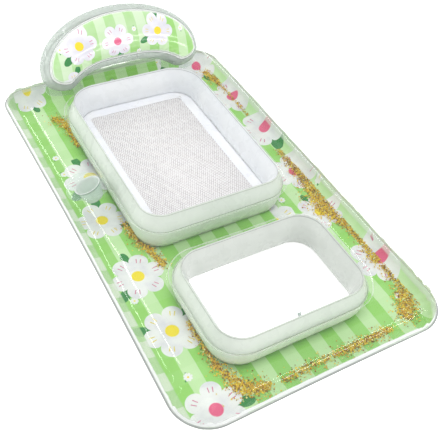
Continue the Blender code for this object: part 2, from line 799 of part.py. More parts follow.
def wall_valve_frame(collar, bulge):
    """The place of a valve on the foot side of a collar's inner wall, facing the head end."""
    grow, height = wall_point(collar, -1.0, bulge, 0.5)
    low = Vector(wall_point(collar, -1.0, bulge, 0.0))
    high = Vector(wall_point(collar, -1.0, bulge, 1.0))
    foot = collar.sizes[1] - grow
    slope = high - low
    outward = Vector((0.0, slope.y, slope.x)).normalized()
    return valve_frame(Vector((0.0, foot, height)) + outward * SHEET, outward, Vector((1.0, 0.0, 0.0)))


def ring_valve_frame():
    """The place of the ring's valve, low on the head end where the bottom sheet turns up."""
    boundary = ring_boundaries()[0]
    hole = SEAT.loop(-OUTER_BULGE * WALL_SHARES[0][1])
    rows = rail_rows(boundary, hole, BOTTOM_ROW_SHARES, bottom_height)
    column = CORNER_STEPS + SIDE_STEPS_ACROSS // 2
    low, high = Vector(rows[3][column]), Vector(rows[2][column])
    middle = (low + high) / 2
    slope = high - low
    outward = Vector((0.0, slope.z, -slope.y)).normalized()
    return valve_frame(Vector((0.0, middle.y, middle.z)), outward, Vector((1.0, 0.0, 0.0)))


def pillow_valve_frame():
    """The place of the pillow's valve in the pillow's frame, on the flat middle of its back sheet."""
    rows = pillow_face_rows(BACK)
    middle = len(PILLOW_ROW_SHARES) // 2
    near, far = rows[len(rows) // 2 - 1], rows[len(rows) // 2]
    corners = [Vector(row[k]) for row in (near, far) for k in (middle - 1, middle)]
    centre = sum(corners, Vector((0.0, 0.0, 0.0))) / 4
    return valve_frame(centre + Vector((0.0, SHEET, 0.0)), Vector((0.0, 1.0, 0.0)), Vector((1.0, 0.0, 0.0)))


def build_drifts(shaders, group):
    """Thin drifts of loose flakes, lying on the bottom sheet."""
    for name, (x, y, reach, width, turn) in DRIFT_SHARES.items():
        work = bmesh.new()
        bmesh.ops.create_uvsphere(work, u_segments=12, v_segments=4, radius=1.0)
        mesh = bpy.data.meshes.new(name)
        work.to_mesh(mesh)
        work.free()
        mesh.shade_smooth()
        sizes = Vector((reach * WIDTH / 2, width * LENGTH / 2, DRIFT_HALF_THICKNESS))
        mesh.transform(Matrix.Diagonal(sizes).to_4x4())
        drift = add_object(name, mesh, shaders["gold"], group)
        drift.location = (x * WIDTH / 2, y * LENGTH / 2, SHEET + GAP + DRIFT_HALF_THICKNESS)
        drift.rotation_euler = (0.0, 0.0, math.radians(turn))


def build_shaders():
    """The materials, by use."""
    return {
        "clear": material("clear film", (0.90, 0.95, 0.90), 0.08, 0.35),
        "print": material("printed film", (0.45, 0.78, 0.32), 0.30),
        "collar": material("milky film", (0.86, 0.90, 0.86), 0.25, 0.85),
        "border": material("white film", (0.92, 0.93, 0.94), 0.30),
        "mesh": material("perforated mesh", (0.88, 0.88, 0.87), 0.60),
        "cup": material("tinted moulding", (0.62, 0.74, 0.66), 0.15, 0.75),
        "valve": material("soft moulding", (0.85, 0.90, 0.88), 0.30),
        "flap": material("valve flap", (0.80, 0.85, 0.83), 0.40),
        "gold": material("gold flakes", (0.78, 0.56, 0.15), 0.30),
    }


def main():
    """Build the lounger."""
    clear_scene()
    group = new_collection(COLLECTION_NAME)
    guides = new_collection("guides")
    shaders = build_shaders()
    top, bottom = build_ring(shaders, group)
    walls = build_collars(shaders, group)
    build_mesh_seat(shaders, group)
    hinge, pillow_back = build_pillow(shaders, guides, group)
    build_cup(top, shaders, guides, group)
    build_valve("ring", ring_valve_frame(), None, bottom, shaders, guides, group)
    seat_wall, leg_wall = walls["seat_collar_inner_wall"], walls["leg_collar_inner_wall"]
    build_valve("seat", wall_valve_frame(SEAT, INNER_BULGE), None, seat_wall, shaders, guides, group)
    build_valve("leg", wall_valve_frame(LEG, INNER_BULGE), None, leg_wall, shaders, guides, group)
    build_valve("pillow", pillow_valve_frame(), hinge, pillow_back, shaders, guides, group)
    build_drifts(shaders, group)
    root = add_empty("lounger_origin", Vector((0.0, -SPLIT, 0.0)), guides)
    for obj in list(group.objects) + list(guides.objects):
        if obj.parent is None and obj is not root:
            obj.parent = root


main()
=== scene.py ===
"""Looks of the inflatable pool lounger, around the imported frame."""

import math
import random

import bmesh
import bpy
import numpy as np
from mathutils import Matrix, Vector, kdtree, noise


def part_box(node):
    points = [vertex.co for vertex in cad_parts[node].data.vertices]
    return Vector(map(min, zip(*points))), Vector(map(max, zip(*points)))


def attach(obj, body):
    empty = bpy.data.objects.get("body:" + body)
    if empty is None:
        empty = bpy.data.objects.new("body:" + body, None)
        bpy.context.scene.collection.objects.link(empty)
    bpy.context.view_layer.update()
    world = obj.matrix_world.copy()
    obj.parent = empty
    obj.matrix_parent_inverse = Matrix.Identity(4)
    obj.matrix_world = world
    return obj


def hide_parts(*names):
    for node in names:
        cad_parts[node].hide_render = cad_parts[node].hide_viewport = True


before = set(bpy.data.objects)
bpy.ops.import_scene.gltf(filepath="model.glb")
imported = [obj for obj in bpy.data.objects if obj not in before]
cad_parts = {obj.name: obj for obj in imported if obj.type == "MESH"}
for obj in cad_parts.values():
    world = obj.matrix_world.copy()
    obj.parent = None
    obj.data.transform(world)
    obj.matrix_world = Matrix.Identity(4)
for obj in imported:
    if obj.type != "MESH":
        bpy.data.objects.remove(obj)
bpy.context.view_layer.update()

# Sizes in metres and angles in degrees. A rounded rectangle is its half width, foot, head, foot radius
# and head radius.
SHIFT = 0.220                       # from the plan used here, centred on the ring, to the row frame
SHEET, THICK_SHEET, GAP = 0.0005, 0.0008, 0.0003
LENGTH, WIDTH = 1.750, 1.020
HEAD_RADIUS, FOOT_RADIUS = 0.105, 0.132
SEAM_FLANGE, SEAM_HEIGHT, CREST_HEIGHT = 0.008, 0.055, 0.130
UNDERSIDE_REACH = 0.045
CREST_SHARE = 0.45
OUTER_BULGE, INNER_BULGE = 0.026, 0.030
WELD_GROW = OUTER_BULGE * 0.95 + 0.0013
SPLIT = -0.220                      # the crossbeam's middle line
RING = (WIDTH / 2, -LENGTH / 2, LENGTH / 2, FOOT_RADIUS, HEAD_RADIUS)
SEAT = (0.285, -0.135, 0.670, 0.080, 0.120)
LEG = (0.280, -0.690, -0.305, 0.090, 0.090)
SEAT_RIM, LEG_RIM, RIM_FLANGE = 0.158, 0.140, 0.004
WELD_RISE = 0.60                    # share of a collar's height at which the top film is welded to it
# share of a collar's height, and share of its wall's bulge there
WALL = ((0.0, 0.12), (0.15, 0.62), (0.32, 0.92), (0.46, 1.0),
        (0.60, 0.95), (0.76, 0.66), (0.90, 0.25), (1.0, 0.0))
MESH_LEVEL, MESH_OVERLAP, BORDER_WIDTH = 0.0512, 0.008, 0.046
CLOTH_SHARE = 0.716                 # of the perforated panel's area, the rest being holes
HOLE_PITCH, HOLE_RADIUS = 0.0094, 0.0029

PILLOW_HALF, PILLOW_TIP, PILLOW_SHOULDER = 0.325, 0.262, 0.045
PILLOW_RISE, PILLOW_ARCH, PILLOW_POWER = 0.195, 0.064, 3.2
PILLOW_TIP_RADIUS, PILLOW_TIP_TURN = 0.030, 45.0
GUSSET, GUSSET_BULGE, PILLOW_CROWN = 0.100, 0.032, 0.030
PILLOW_LEAN = 32.0
LEAN = Matrix.Rotation(-math.radians(PILLOW_LEAN), 3, "X")
PILLOW_AXIS, PILLOW_MIDDLE = Vector((0.0, 0.952, 0.184299)), Vector((0.0, 1.0, 0.22))

CUP_CENTRE = Vector((-0.403, 0.360))
CUP_RIM, CUP_BASE, CUP_DEPTH, CUP_STAND = 0.0465, 0.036, 0.064, 0.006
CUP_TILT_OUT, CUP_TILT_HEAD, CUP_HOLE = 21.0, 16.0, 0.0595
CUP_WALL, CUP_ROUND, CUP_LIP = 0.0015, 0.006, 0.0022
LEFT_BOW, FOOT_BOW = 0.007, 0.002
# across, and how far the head end is swelled out there
HEAD_SWELL = ((-0.51, 0.010), (-0.25, 0.022), (0.05, 0.031), (0.30, 0.029), (0.51, 0.023))
# radii of the flat place under a valve's base disc, of the film's opening in it, and of the film drawn to it
VALVE_SEAT, VALVE_HOLE, VALVE_REACH = 0.0165, 0.0112, 0.042
STRIPE, CHECK, PILLOW_STRIPE = 0.107, 0.13, 0.088

CORNER_STEPS, ACROSS_STEPS, ALONG_STEPS, WALL_ROWS = 34, 70, 100, 22
PILLOW_ARC_STEPS, PILLOW_SPAN_STEPS = 14, 90
MERGE = 2e-5


# Node helpers
class Flow:
    """A node's output, with arithmetic that adds Math nodes."""

    def __init__(self, socket):
        self.socket = socket
        self.node = socket.node
        self.tree = socket.id_data

    def math(self, operation, *others):
        node = self.tree.nodes.new("ShaderNodeMath")
        node.operation = operation
        return connected(node, self, *others)

    def __add__(self, other):
        return self.math("ADD", other)

    def __sub__(self, other):
        return self.math("SUBTRACT", other)

    def __mul__(self, other):
        return self.math("MULTIPLY", other)

    def __truediv__(self, other):
        return self.math("DIVIDE", other)

    def most(self, *others):
        """The largest of several."""
        flow = self
        for other in others:
            flow = flow.math("MAXIMUM", other)
        return flow

    def ramp(self, low, high, start=0.0, end=1.0):
        """Map low..high to start..end, eased and clamped."""
        node = self.tree.nodes.new("ShaderNodeMapRange")
        node.interpolation_type = "SMOOTHSTEP"
        return connected(node, self, low, high, start, end)

    def below(self, edge, soft):
        """1 where this is below the edge, 0 above it."""
        return self.ramp(edge - soft, edge + soft, 1.0, 0.0)

    def near(self, middle, width, soft):
        """1 where this is within the width of a value."""
        return (self - middle).math("ABSOLUTE").below(width, soft)

    def stripes(self, soft):
        """1 over the middle half of each period of 1."""
        return self.math("FRACT").near(0.5, 0.25, soft)


def feed(socket, value):
    """Link a flow to an input, or set a number or colour there."""
    if isinstance(value, Flow):
        socket.id_data.links.new(value.socket, socket)
    else:
        socket.default_value = value


def connected(node, *values, first=0, output=0):
    """A node's output, with its inputs fed in turn."""
    for slot, value in enumerate(values, first):
        feed(node.inputs[slot], value)
    return Flow(node.outputs[output])


class Paint:
    """A material's node tree with short calls for what is used here."""

    def __init__(self, name):
        self.material = bpy.data.materials.new(name)
        self.material.use_nodes = True
        self.tree = self.material.node_tree
        self.tree.nodes.clear()
        # object coordinates, which are the row frame at rest, in metres
        self.place = self.node("TexCoord", "Object")

    def node(self, kind, output=0, **inputs):
        """A new node's output, with its inputs fed by name."""
        node = self.tree.nodes.new(f"ShaderNode{kind}")
        for key, value in inputs.items():
            feed(node.inputs[key.replace("_", " ")], value)
        return Flow(node.outputs[output])

    def xyz(self, vector):
        return [Flow(output) for output in self.node("SeparateXYZ", Vector=vector).node.outputs]

    def shifted(self, operation, first, second):
        """A vector with another added or subtracted."""
        node = self.node("VectorMath").node
        node.operation = operation
        return connected(node, first, second)

    def value(self, name):
        """A number stored on the mesh."""
        flow = self.node("Attribute", "Fac")
        flow.node.attribute_name = name
        return flow

    def noise(self, scale, detail=2.0, roughness=0.5):
        return self.node("TexNoise", "Fac", Vector=self.place, Scale=scale, Detail=detail,
                         Roughness=roughness)

    def wobble(self):
        """A small shift that keeps printed lines from running dead straight."""
        return (self.noise(14.0) - 0.5) * 0.004

    def mix(self, share, first, second):
        """A colour between two."""
        node = self.node("Mix").node
        node.data_type = "RGBA"
        feed(node.inputs[0], share)
        return connected(node, first, second, first=6, output=2)

    def mottled(self, scale, detail, first, second):
        """Two colours in soft patches."""
        return self.mix(self.noise(scale, detail).ramp(0.3, 0.7), first, second)

    def bump(self, scale, detail, strength, distance):
        """A normal with a noise's relief."""
        height = self.noise(scale, detail)
        return self.node("Bump", Height=height, Strength=strength, Distance=distance)

    def plastic(self, colour, gloss, grain=None, **inputs):
        """A solid surface. gloss: a noise's scale and two roughnesses. grain: what bump takes."""
        scale, low, high = gloss
        if grain is not None:
            inputs["Normal"] = self.bump(*grain)
        roughness = self.noise(scale).ramp(0.2, 0.8, low, high)
        return self.node("BsdfPrincipled", Base_Color=colour, Roughness=roughness, **inputs)

    def clear(self, *colour):
        return self.node("BsdfTransparent", Color=(*colour, 1.0))

    def blend(self, share, first, second):
        """A mix of two shaders."""
        return connected(self.node("MixShader").node, share, first, second)

    def sheen(self, least, most, normal):
        """Share of light that a film reflects by the angle, the same from either side."""
        facing = self.node("LayerWeight", "Facing", Blend=0.5, Normal=normal)
        return facing.math("POWER", 5.0) * (most - least) + least

    def done(self, surface):
        """The material, with its surface."""
        feed(self.tree.nodes.new("ShaderNodeOutputMaterial").inputs["Surface"], surface)
        return self.material


def rgb(red, green, blue):
    """A colour given as it looks on screen, 0 to 255."""
    return (*[((v / 255 + 0.055) / 1.055) ** 2.4 if v > 10 else v / 3294.6 for v in (red, green, blue)], 1.0)


# Print
STRONG, LIGHT, FADED = rgb(150, 216, 100), rgb(205, 238, 184), rgb(248, 250, 247)
LEAF, LEAF_SHADE = rgb(10, 142, 48), rgb(30, 128, 62)
PETAL, PETAL_SHADE = rgb(247, 246, 250), rgb(226, 224, 236)
YELLOW, PINK = rgb(250, 226, 20), rgb(238, 92, 140)
MARK_YELLOW, MARK_PINK = rgb(236, 214, 60), rgb(214, 120, 160)


def daisies(paint, flat, scale, seed, petals, small):
    """One layer of daisies, one in each cell of a loose grid.

    It gives the masks of the flowers, hearts, marks and leaves, and a random value.
    """
    moved = paint.shifted("ADD", flat, seed)
    cells = paint.node("TexVoronoi", Vector=moved, Scale=scale, Randomness=0.85 if small else 0.30).node
    cells.voronoi_dimensions = "2D"
    x, y, _ = paint.xyz(paint.shifted("SUBTRACT", moved, Flow(cells.outputs["Position"])))
    first, second, third = paint.xyz(Flow(cells.outputs["Color"]))
    size = (first * 0.22 + 0.78) * ((0.13 if small else 0.42) / scale)
    radius = (x * x + y * y).math("SQRT") / size
    angle = y.math("ARCTAN2", x) + second * 6.283
    wave = (angle * (petals / 2)).math("COSINE").math("ABSOLUTE")
    edge = wave.math("POWER", 0.55) * 0.34 + 0.66
    shown = third.ramp(0.60, 0.61) if small else third.ramp(0.26, 0.27)
    flower = (radius - edge).below(0.0, 0.015) * shown
    heart = radius.below(0.235, 0.02) * shown
    side = ((angle * (petals / 2) / math.pi).math("FRACT") - 0.5).math("ABSOLUTE")
    marks = side.near(0.40, 0.022, 0.008) * radius.below(0.80, 0.01) * radius.ramp(0.60, 0.62) * shown

    def leaf(turn, reach, half_length, half_width):
        turned = angle + turn
        along = (turned.math("COSINE") * radius - reach) / half_length
        across = turned.math("SINE") * radius / half_width
        return (along * along + across * across).below(1.0, 0.06) * shown

    leaves = leaf(-0.6, 0.98, 0.34, 0.19).most(leaf(1.55, 0.95, 0.26, 0.15) * second.ramp(0.45, 0.46))
    return flower, heart, marks, leaves, second


def printed_colour(paint, flat, stripe, check, scale, seed, pale=None, bare=None):
    """The print's colour: soft stripes with daisies of two sizes. stripe and check run 0 to 1 over a period.

    pale fades the stripes, and bare leaves the daisies out.
    """
    tone = stripe.stripes(0.012) * 0.86 + check.stripes(0.012) * 0.10
    tone = tone + paint.noise(9.0, 3.0, 0.6) * 0.16 - 0.06
    colour = stripes = paint.mix(tone.math("MINIMUM", 1.0), LIGHT, STRONG)
    if pale is not None:
        colour = paint.mix(pale, colour, FADED)
    small_seed = (seed[0] + 3.7, seed[1] + 1.3, 0.0)
    flower, heart, _, leaf, pick = daisies(paint, flat, scale * 1.9, small_seed, 8, True)
    colour = paint.mix(leaf, colour, LEAF)
    colour = paint.mix(flower, colour, PETAL)
    colour = paint.mix(heart, colour, paint.mix(pick.ramp(0.25, 0.26), PINK, YELLOW))
    flower, heart, marks, leaf, pick = daisies(paint, flat, scale, (*seed, 0.0), 6, False)
    colour = paint.mix(leaf, colour, paint.mix(paint.noise(40.0), LEAF, LEAF_SHADE))
    colour = paint.mix(flower, colour, paint.mix(paint.noise(14.0, 3.0).ramp(0.35, 0.75), PETAL, PETAL_SHADE))
    colour = paint.mix(marks, colour, paint.mix(pick.ramp(0.5, 0.51), MARK_PINK, MARK_YELLOW))
    colour = paint.mix(heart, colour, paint.mix(pick.ramp(0.42, 0.43), PINK, YELLOW))
    return colour if bare is None else paint.mix(bare, colour, stripes)


def ring_print():
    """The ring's print: awning stripes along Y, a pale checked margin on the left, daisies and leaves."""
    paint = Paint("ring_print")
    x, y, _ = paint.xyz(paint.place)
    warp = paint.wobble()
    beams = y.ramp(1.000, 1.004).most(y.math("ABSOLUTE").below(0.090, 0.004))
    beams = beams * x.math("ABSOLUTE").below(0.235, 0.004)
    flat = paint.node("CombineXYZ", X=x, Y=y)
    colour = printed_colour(paint, flat, (x + warp + STRIPE / 2) / STRIPE, (y + warp) / STRIPE, 3.72,
                            (0.130, 0.045), bare=beams)
    squares = ((y + warp) / CHECK).math("FRACT").below(0.5, 0.02)
    hatch = ((x + y) * 90.0).math("FRACT").below(0.5, 0.2) * 0.35
    margin = paint.mix(squares * 0.8 + hatch * 0.2, rgb(224, 232, 219), rgb(166, 210, 142))
    colour = paint.mix((x * -1.0).ramp(0.449, 0.453) * 0.80, colour, margin)
    colour = paint.mix(paint.value("seam").below(0.012, 0.001) * 0.6, colour, rgb(226, 232, 226))
    return paint.done(paint.plastic(
        colour, (30.0, 0.28, 0.42), (60.0, 3.0, 0.15, 0.002), Specular_IOR_Level=0.45))


def pillow_print():
    """The pillow's front: upright stripes and daisies on the leaning face."""
    paint = Paint("pillow_print")
    x, _, z = paint.xyz(paint.place)
    up = z * 1.18
    fade = paint.noise(6.0, 3.0).ramp(0.35, 0.7, 0.04, 0.34)
    flat = paint.node("CombineXYZ", X=x, Y=up)
    colour = printed_colour(paint, flat, (x + paint.wobble()) / PILLOW_STRIPE, up / PILLOW_STRIPE, 5.4,
                            (0.06, 0.02), pale=fade)
    line, grey = seam_lines(paint)
    colour = paint.mix(paint.value("edge").below(0.012, 0.002) * 0.7, colour, rgb(240, 246, 240))
    colour = paint.mix(grey, paint.mix(line, colour, rgb(250, 252, 250)), rgb(168, 176, 170))
    return paint.done(paint.plastic(
        colour, (25.0, 0.10, 0.22), (50.0, 3.0, 0.12, 0.002), Specular_IOR_Level=0.7, Coat_Weight=0.6,
        Coat_Roughness=0.05))


def film_back():
    """The outside of the printed film, paler than its printed face."""
    paint = Paint("film_back")
    x = paint.xyz(paint.place)[0]
    band = ((x + paint.wobble() + STRIPE / 2) / STRIPE).stripes(0.02)
    colour = paint.mix(band * 0.8 + paint.noise(12.0) * 0.2, rgb(214, 219, 214), rgb(196, 210, 192))
    return paint.done(paint.plastic(colour, (30.0, 0.20, 0.36), (60.0, 3.0, 0.15, 0.002)))


# Films and mouldings
def clear_film(name, haze, tint, welds=False, edged=False):
    """Clear glossy film: mostly see-through, with a faint haze and the lamps' gloss by the angle."""
    paint = Paint(name)
    ripple = paint.bump(16.0, 3.0, 0.025, 0.004)
    gloss = paint.node("BsdfGlossy", Roughness=0.04, Normal=ripple, Color=(1.0, 1.0, 1.0, 1.0))
    cloud = paint.noise(9.0, 3.0).ramp(0.3, 0.8, haze * 0.8, haze * 1.2)
    white = (0.92, 0.96, 0.93, 1.0)
    if welds:
        marks, grey = weld_marks(paint)
        cloud = cloud.most(marks)
        # painted shade: the seam flange's outer edge turns grey
        white = paint.mix(grey, (0.90, 0.93, 0.91, 1.0), rgb(168, 172, 170))
    if edged:
        line, grey = seam_lines(paint)
        cloud = cloud.most(line.most(grey) * 0.9)
        white = paint.mix(grey, paint.mix(line, rgb(208, 216, 210), rgb(254, 255, 254)), rgb(140, 146, 143))
    body = paint.blend(cloud, paint.clear(*tint), paint.node("BsdfDiffuse", Color=white))
    return paint.done(paint.blend(paint.sheen(0.022, 0.24, ripple), body, gloss))


def weld_marks(paint):
    """Cover of the welds, the ring's seam flange and the margin round each collar, and the share of painted
    shade: the flange's outer edge, painted grey as the shaded underside below the seam.
    """
    seam, weld = paint.value("seam"), paint.value("weld")
    flange = seam.below(0.0080, 0.0006) * 0.42
    edge = seam.below(0.0046, 0.0005) * 0.92
    line = seam.near(0.0090, 0.0018, 0.0005) * 0.92
    margin = weld.below(0.014, 0.003) * 0.06
    bead = weld.near(0.0155, 0.0014, 0.0006) * 0.35
    foot = weld.below(0.0030, 0.0008) * 0.45
    # the second value is the painted shade: the flange's outer edge, painted grey
    return flange.most(edge, line, margin, bead, foot), seam.below(0.0048, 0.0006)


def seam_lines(paint):
    """The pillow's welded seam: a white line with a grey one beside it."""
    edge = paint.value("edge")
    return edge.below(0.0045, 0.0006), edge.near(0.0064, 0.0013, 0.0006) * 0.7


def milky_film(name, cover, colour, shade):
    """White translucent film: part see-through, lit from both sides, with a painted shadow line in grey just
    under its rim flange.
    """
    paint = Paint(name)
    ripple = paint.bump(16.0, 3.0, 0.05, 0.005)
    rise = paint.value("rim")
    tone = paint.mottled(4.0, 2.0, colour, shade)
    # painted shade: a thin grey line just under the rim flange, where the flange's shadow falls on the wall
    tone = paint.mix(rise.near(0.0062, 0.0011, 0.0006) * 0.55, tone, rgb(150, 154, 150))
    solid = paint.plastic(tone, (24.0, 0.22, 0.36), Specular_IOR_Level=0.5, Normal=ripple)
    milk = paint.blend(0.14, solid, paint.node("BsdfTranslucent", Color=tone, Normal=ripple))
    share = paint.noise(10.0, 3.0).ramp(0.3, 0.7, cover - 0.03, cover + 0.03)
    share = share.most(rise.below(0.0068, 0.0006) * 0.97)
    return paint.done(paint.blend(share, paint.clear(0.97, 0.99, 0.97), milk))


def white_film():
    """The solid white border of the seat."""
    paint = Paint("white_film")
    tone = paint.mottled(12.0, 3.0, rgb(252, 253, 255), rgb(246, 248, 254))
    return paint.done(paint.plastic(tone, (30.0, 0.25, 0.40), (45.0, 3.0, 0.12, 0.002)))


def mesh_fabric():
    """The perforated seat fabric: woven white threads."""
    paint = Paint("mesh_fabric")
    x, y, _ = paint.xyz(paint.place)
    threads = (x * 2600.0).math("SINE") * (y * 2600.0).math("SINE")
    relief = paint.node("Bump", Height=threads, Strength=0.25, Distance=0.0006)
    tone = paint.mottled(60.0, 3.0, rgb(232, 230, 230), rgb(215, 212, 213))
    return paint.done(paint.node(
        "BsdfPrincipled", Base_Color=tone, Roughness=0.62, Sheen_Weight=0.2, Normal=relief))


def cup_plastic():
    """Grey-green translucent moulding, with painted light inside the cup and on its lip's top, and painted
    shade just under its lip.
    """
    paint = Paint("cup_plastic")
    # painted light: pale on the inner skin, in place of light in the shaded hollow, and on the lip's top as a
    # painted highlight
    tone = paint.mix(paint.value("inside"), rgb(206, 222, 212), rgb(246, 252, 248))
    # painted shade: darker on the outer skin just under the lip
    tone = paint.mix(paint.value("painted_shade_under_lip"), tone, rgb(160, 180, 168))
    solid = paint.plastic(tone, (40.0, 0.16, 0.28), (80.0, 2.0, 0.08, 0.001), Specular_IOR_Level=0.55)
    milk = paint.blend(0.25, solid, paint.node("BsdfTranslucent", Color=tone))
    return paint.done(paint.blend(0.92, paint.clear(0.80, 0.90, 0.84), milk))


def soft_moulding(name, colour):
    """Soft clear-white moulding of the valves."""
    paint = Paint(name)
    tone = paint.mix(paint.noise(60.0), colour, rgb(200, 212, 206))
    return paint.done(paint.plastic(
        tone, (90.0, 0.25, 0.40), (220.0, 2.0, 0.1, 0.0005), Specular_IOR_Level=0.5, Subsurface_Weight=0.2,
        Subsurface_Radius=(0.004, 0.004, 0.004)))


def gold(name, colour, roughness):
    """Metallised flakes."""
    paint = Paint(name)
    tone = paint.mottled(700.0, 1.0, colour, (*[c * 0.75 for c in colour[:3]], 1.0))
    return paint.done(paint.plastic(tone, (900.0, roughness, roughness + 0.15), Metallic=0.55))


# Outlines
def outline(half, foot, head, foot_radius, head_radius, square_foot=False, square_head=False):
    """Points round a rectangle with rounded corners, as an array, the same count for every size."""
    corners = (
        (half, head, head_radius, square_head), (-half, head, head_radius, square_head),
        (-half, foot, foot_radius, square_foot), (half, foot, foot_radius, square_foot))
    arcs = []
    for k, (x, y, radius, square) in enumerate(corners):
        centre = np.array((x - math.copysign(radius, x), y - (radius if k < 2 else -radius)))
        turns = np.radians(90.0) * (k + np.arange(CORNER_STEPS + 1) / CORNER_STEPS)
        spokes = np.stack((np.cos(turns), np.sin(turns)), 1)
        if square:
            spokes /= np.abs(spokes).max(1, keepdims=True)
        arcs.append(centre + radius * spokes)
    points = []
    for k, arc in enumerate(arcs):
        steps = ACROSS_STEPS if k % 2 == 0 else ALONG_STEPS
        share = np.arange(1, steps)[:, None] / steps
        points += [arc, arc[-1] * (1 - share) + arcs[(k + 1) % 4][0] * share]
    return np.concatenate(points)


def grown(sizes, grow):
    """Sizes moved outward."""
    half, foot, head, foot_radius, head_radius = sizes
    return half + grow, foot - grow, head + grow, foot_radius + grow, head_radius + grow


def distance(points, sizes):
    """Signed distance of points to a rounded rectangle, negative inside it."""
    half, foot, head, foot_radius, head_radius = sizes
    x, y = points[..., 0], points[..., 1]
    middle = (foot + head) / 2
    radius = np.where(y > middle, head_radius, foot_radius)
    across = np.abs(x) - (half - radius)
    along = np.abs(y - middle) - ((head - foot) / 2 - radius)
    outside = np.hypot(np.maximum(across, 0.0), np.maximum(along, 0.0))
    return np.minimum(np.maximum(across, along), 0.0) + outside - radius


def arch(share):
    """A quarter ellipse's height share."""
    return np.sqrt(np.clip(1.0 - (1.0 - np.clip(share, 0.0, 1.0)) ** 2, 0.0, 1.0))


def smooth_minimum(a, b, reach):
    """The smaller of two, without a crease."""
    mixed = np.clip(0.5 + 0.5 * (b - a) / reach, 0.0, 1.0)
    return np.maximum(b * (1 - mixed) + a * mixed - reach * mixed * (1 - mixed), 0.0)


def top_height(points):
    """Height of the top sheet's inner face over plan points."""
    seam = SEAM_HEIGHT + GAP
    out = np.maximum(-distance(points, RING) - SEAM_FLANGE, 0.0)
    seat = np.maximum(distance(points, grown(SEAT, WELD_GROW)), 0.0)
    leg = np.maximum(distance(points, grown(LEG, WELD_GROW)), 0.0)
    weld = WELD_RISE * (SEAT_RIM * leg + LEG_RIM * seat) / np.maximum(seat + leg, 1e-9)
    near = smooth_minimum(seat, leg, 0.03)
    share = out / np.maximum(out + near, 1e-9)
    outer = seam + (CREST_HEIGHT - seam) * arch(share / CREST_SHARE)
    inner = weld + (CREST_HEIGHT - weld) * arch((1.0 - share) / (1.0 - CREST_SHARE))
    return np.where(share < CREST_SHARE, outer, inner)


def bottom_height(points):
    """Height of the bottom sheet's outer face."""
    share = np.clip(np.maximum(-distance(points, RING) - SEAM_FLANGE, 0.0) / UNDERSIDE_REACH, 0.0, 1.0)
    return (SEAM_HEIGHT - SHEET) * (1.0 - arch(share))


def ring_boundaries():
    """The ring's outline in two loops that share the crossbeam's middle line."""
    half, foot, head, foot_radius, head_radius = RING
    joint = foot_radius / 2
    return (outline(half, SPLIT, head, joint, head_radius, square_foot=True),
            outline(half, foot, SPLIT, foot_radius, joint, square_head=True))


# Meshes
def ripple_value(points, scale, seed):
    """Noise values for an array of points, in the plan or in space."""
    flat = points.reshape(-1, points.shape[-1]) * scale
    values = [noise.noise(Vector((p[0], p[1], (p[2] if len(p) > 2 else 0.0) + seed))) for p in flat]
    return np.array(values).reshape(points.shape[:-1])


def lifted(flat, height):
    """Plan points with their heights."""
    return np.concatenate((flat, np.broadcast_to(height, flat.shape[:-1])[..., None]), -1)


def grid_normals(grid):
    """Unit normals of a grid of points, whose rows are closed loops."""
    along = np.roll(grid, -1, 1) - np.roll(grid, 1, 1)
    normal = np.cross(along, np.gradient(grid, axis=0))
    return normal / np.maximum(np.linalg.norm(normal, axis=2, keepdims=True), 1e-12)


def grid_faces(work, grid, closed):
    """Faces through a grid of points."""
    verts = [[work.verts.new(tuple(p)) for p in row] for row in grid]
    count = grid.shape[1]
    for low, high in zip(verts, verts[1:]):
        for i in range(count if closed else count - 1):
            j = (i + 1) % count
            work.faces.new((low[i], low[j], high[j], high[i]))


def mesh_from(name, grids, closed, face_up=None):
    """A mesh of one or more grids. face_up turns the normals so that they point along it on the whole."""
    work = bmesh.new()
    for grid in grids:
        grid_faces(work, grid, closed)
    bmesh.ops.remove_doubles(work, verts=work.verts, dist=MERGE)
    bmesh.ops.dissolve_degenerate(work, edges=work.edges, dist=MERGE)
    bmesh.ops.recalc_face_normals(work, faces=work.faces)
    if face_up is not None:
        total = sum((face.normal * face.calc_area() for face in work.faces), Vector())
        if total.dot(Vector(face_up)) < 0.0:
            bmesh.ops.reverse_faces(work, faces=work.faces)
    mesh = mesh_of(name, work)
    mesh.shade_smooth()
    return mesh


def mesh_of(name, work):
    """A new mesh from a bmesh, which is freed."""
    mesh = bpy.data.meshes.new(name)
    work.to_mesh(mesh)
    work.free()
    return mesh


def face_outward(mesh, centre, side=1.0):
    """Turn the normals so that on the whole they point away from a centre, or towards it where side is -1."""
    total = sum(f.normal.dot((f.center - centre).normalized()) * f.area for f in mesh.polygons)
    if total * side < 0.0:
        mesh.flip_normals()


def add_object(name, data):
    """A new object in the scene."""
    obj = bpy.data.objects.new(name, data)
    bpy.context.scene.collection.objects.link(obj)
    return obj


def piece(name, mesh, material, body, replaces, back=None, thickness=None, offset=1.0):
    """A piece of the object on its body, with a film's thickness where it has one."""
    obj = add_object(name, mesh)
    mesh.materials.append(material)
    if back is not None:
        mesh.materials.append(back)
    if thickness:
        film = obj.modifiers.new("Film", "SOLIDIFY")
        film.thickness = thickness
        film.offset = offset
        if back is not None:
            film.material_offset = 1
    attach(obj, body)
    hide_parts(replaces)
    return obj


def to_row(grid):
    """From the ring's plan to the row frame."""
    return grid + np.array((0.0, SHIFT, 0.0))


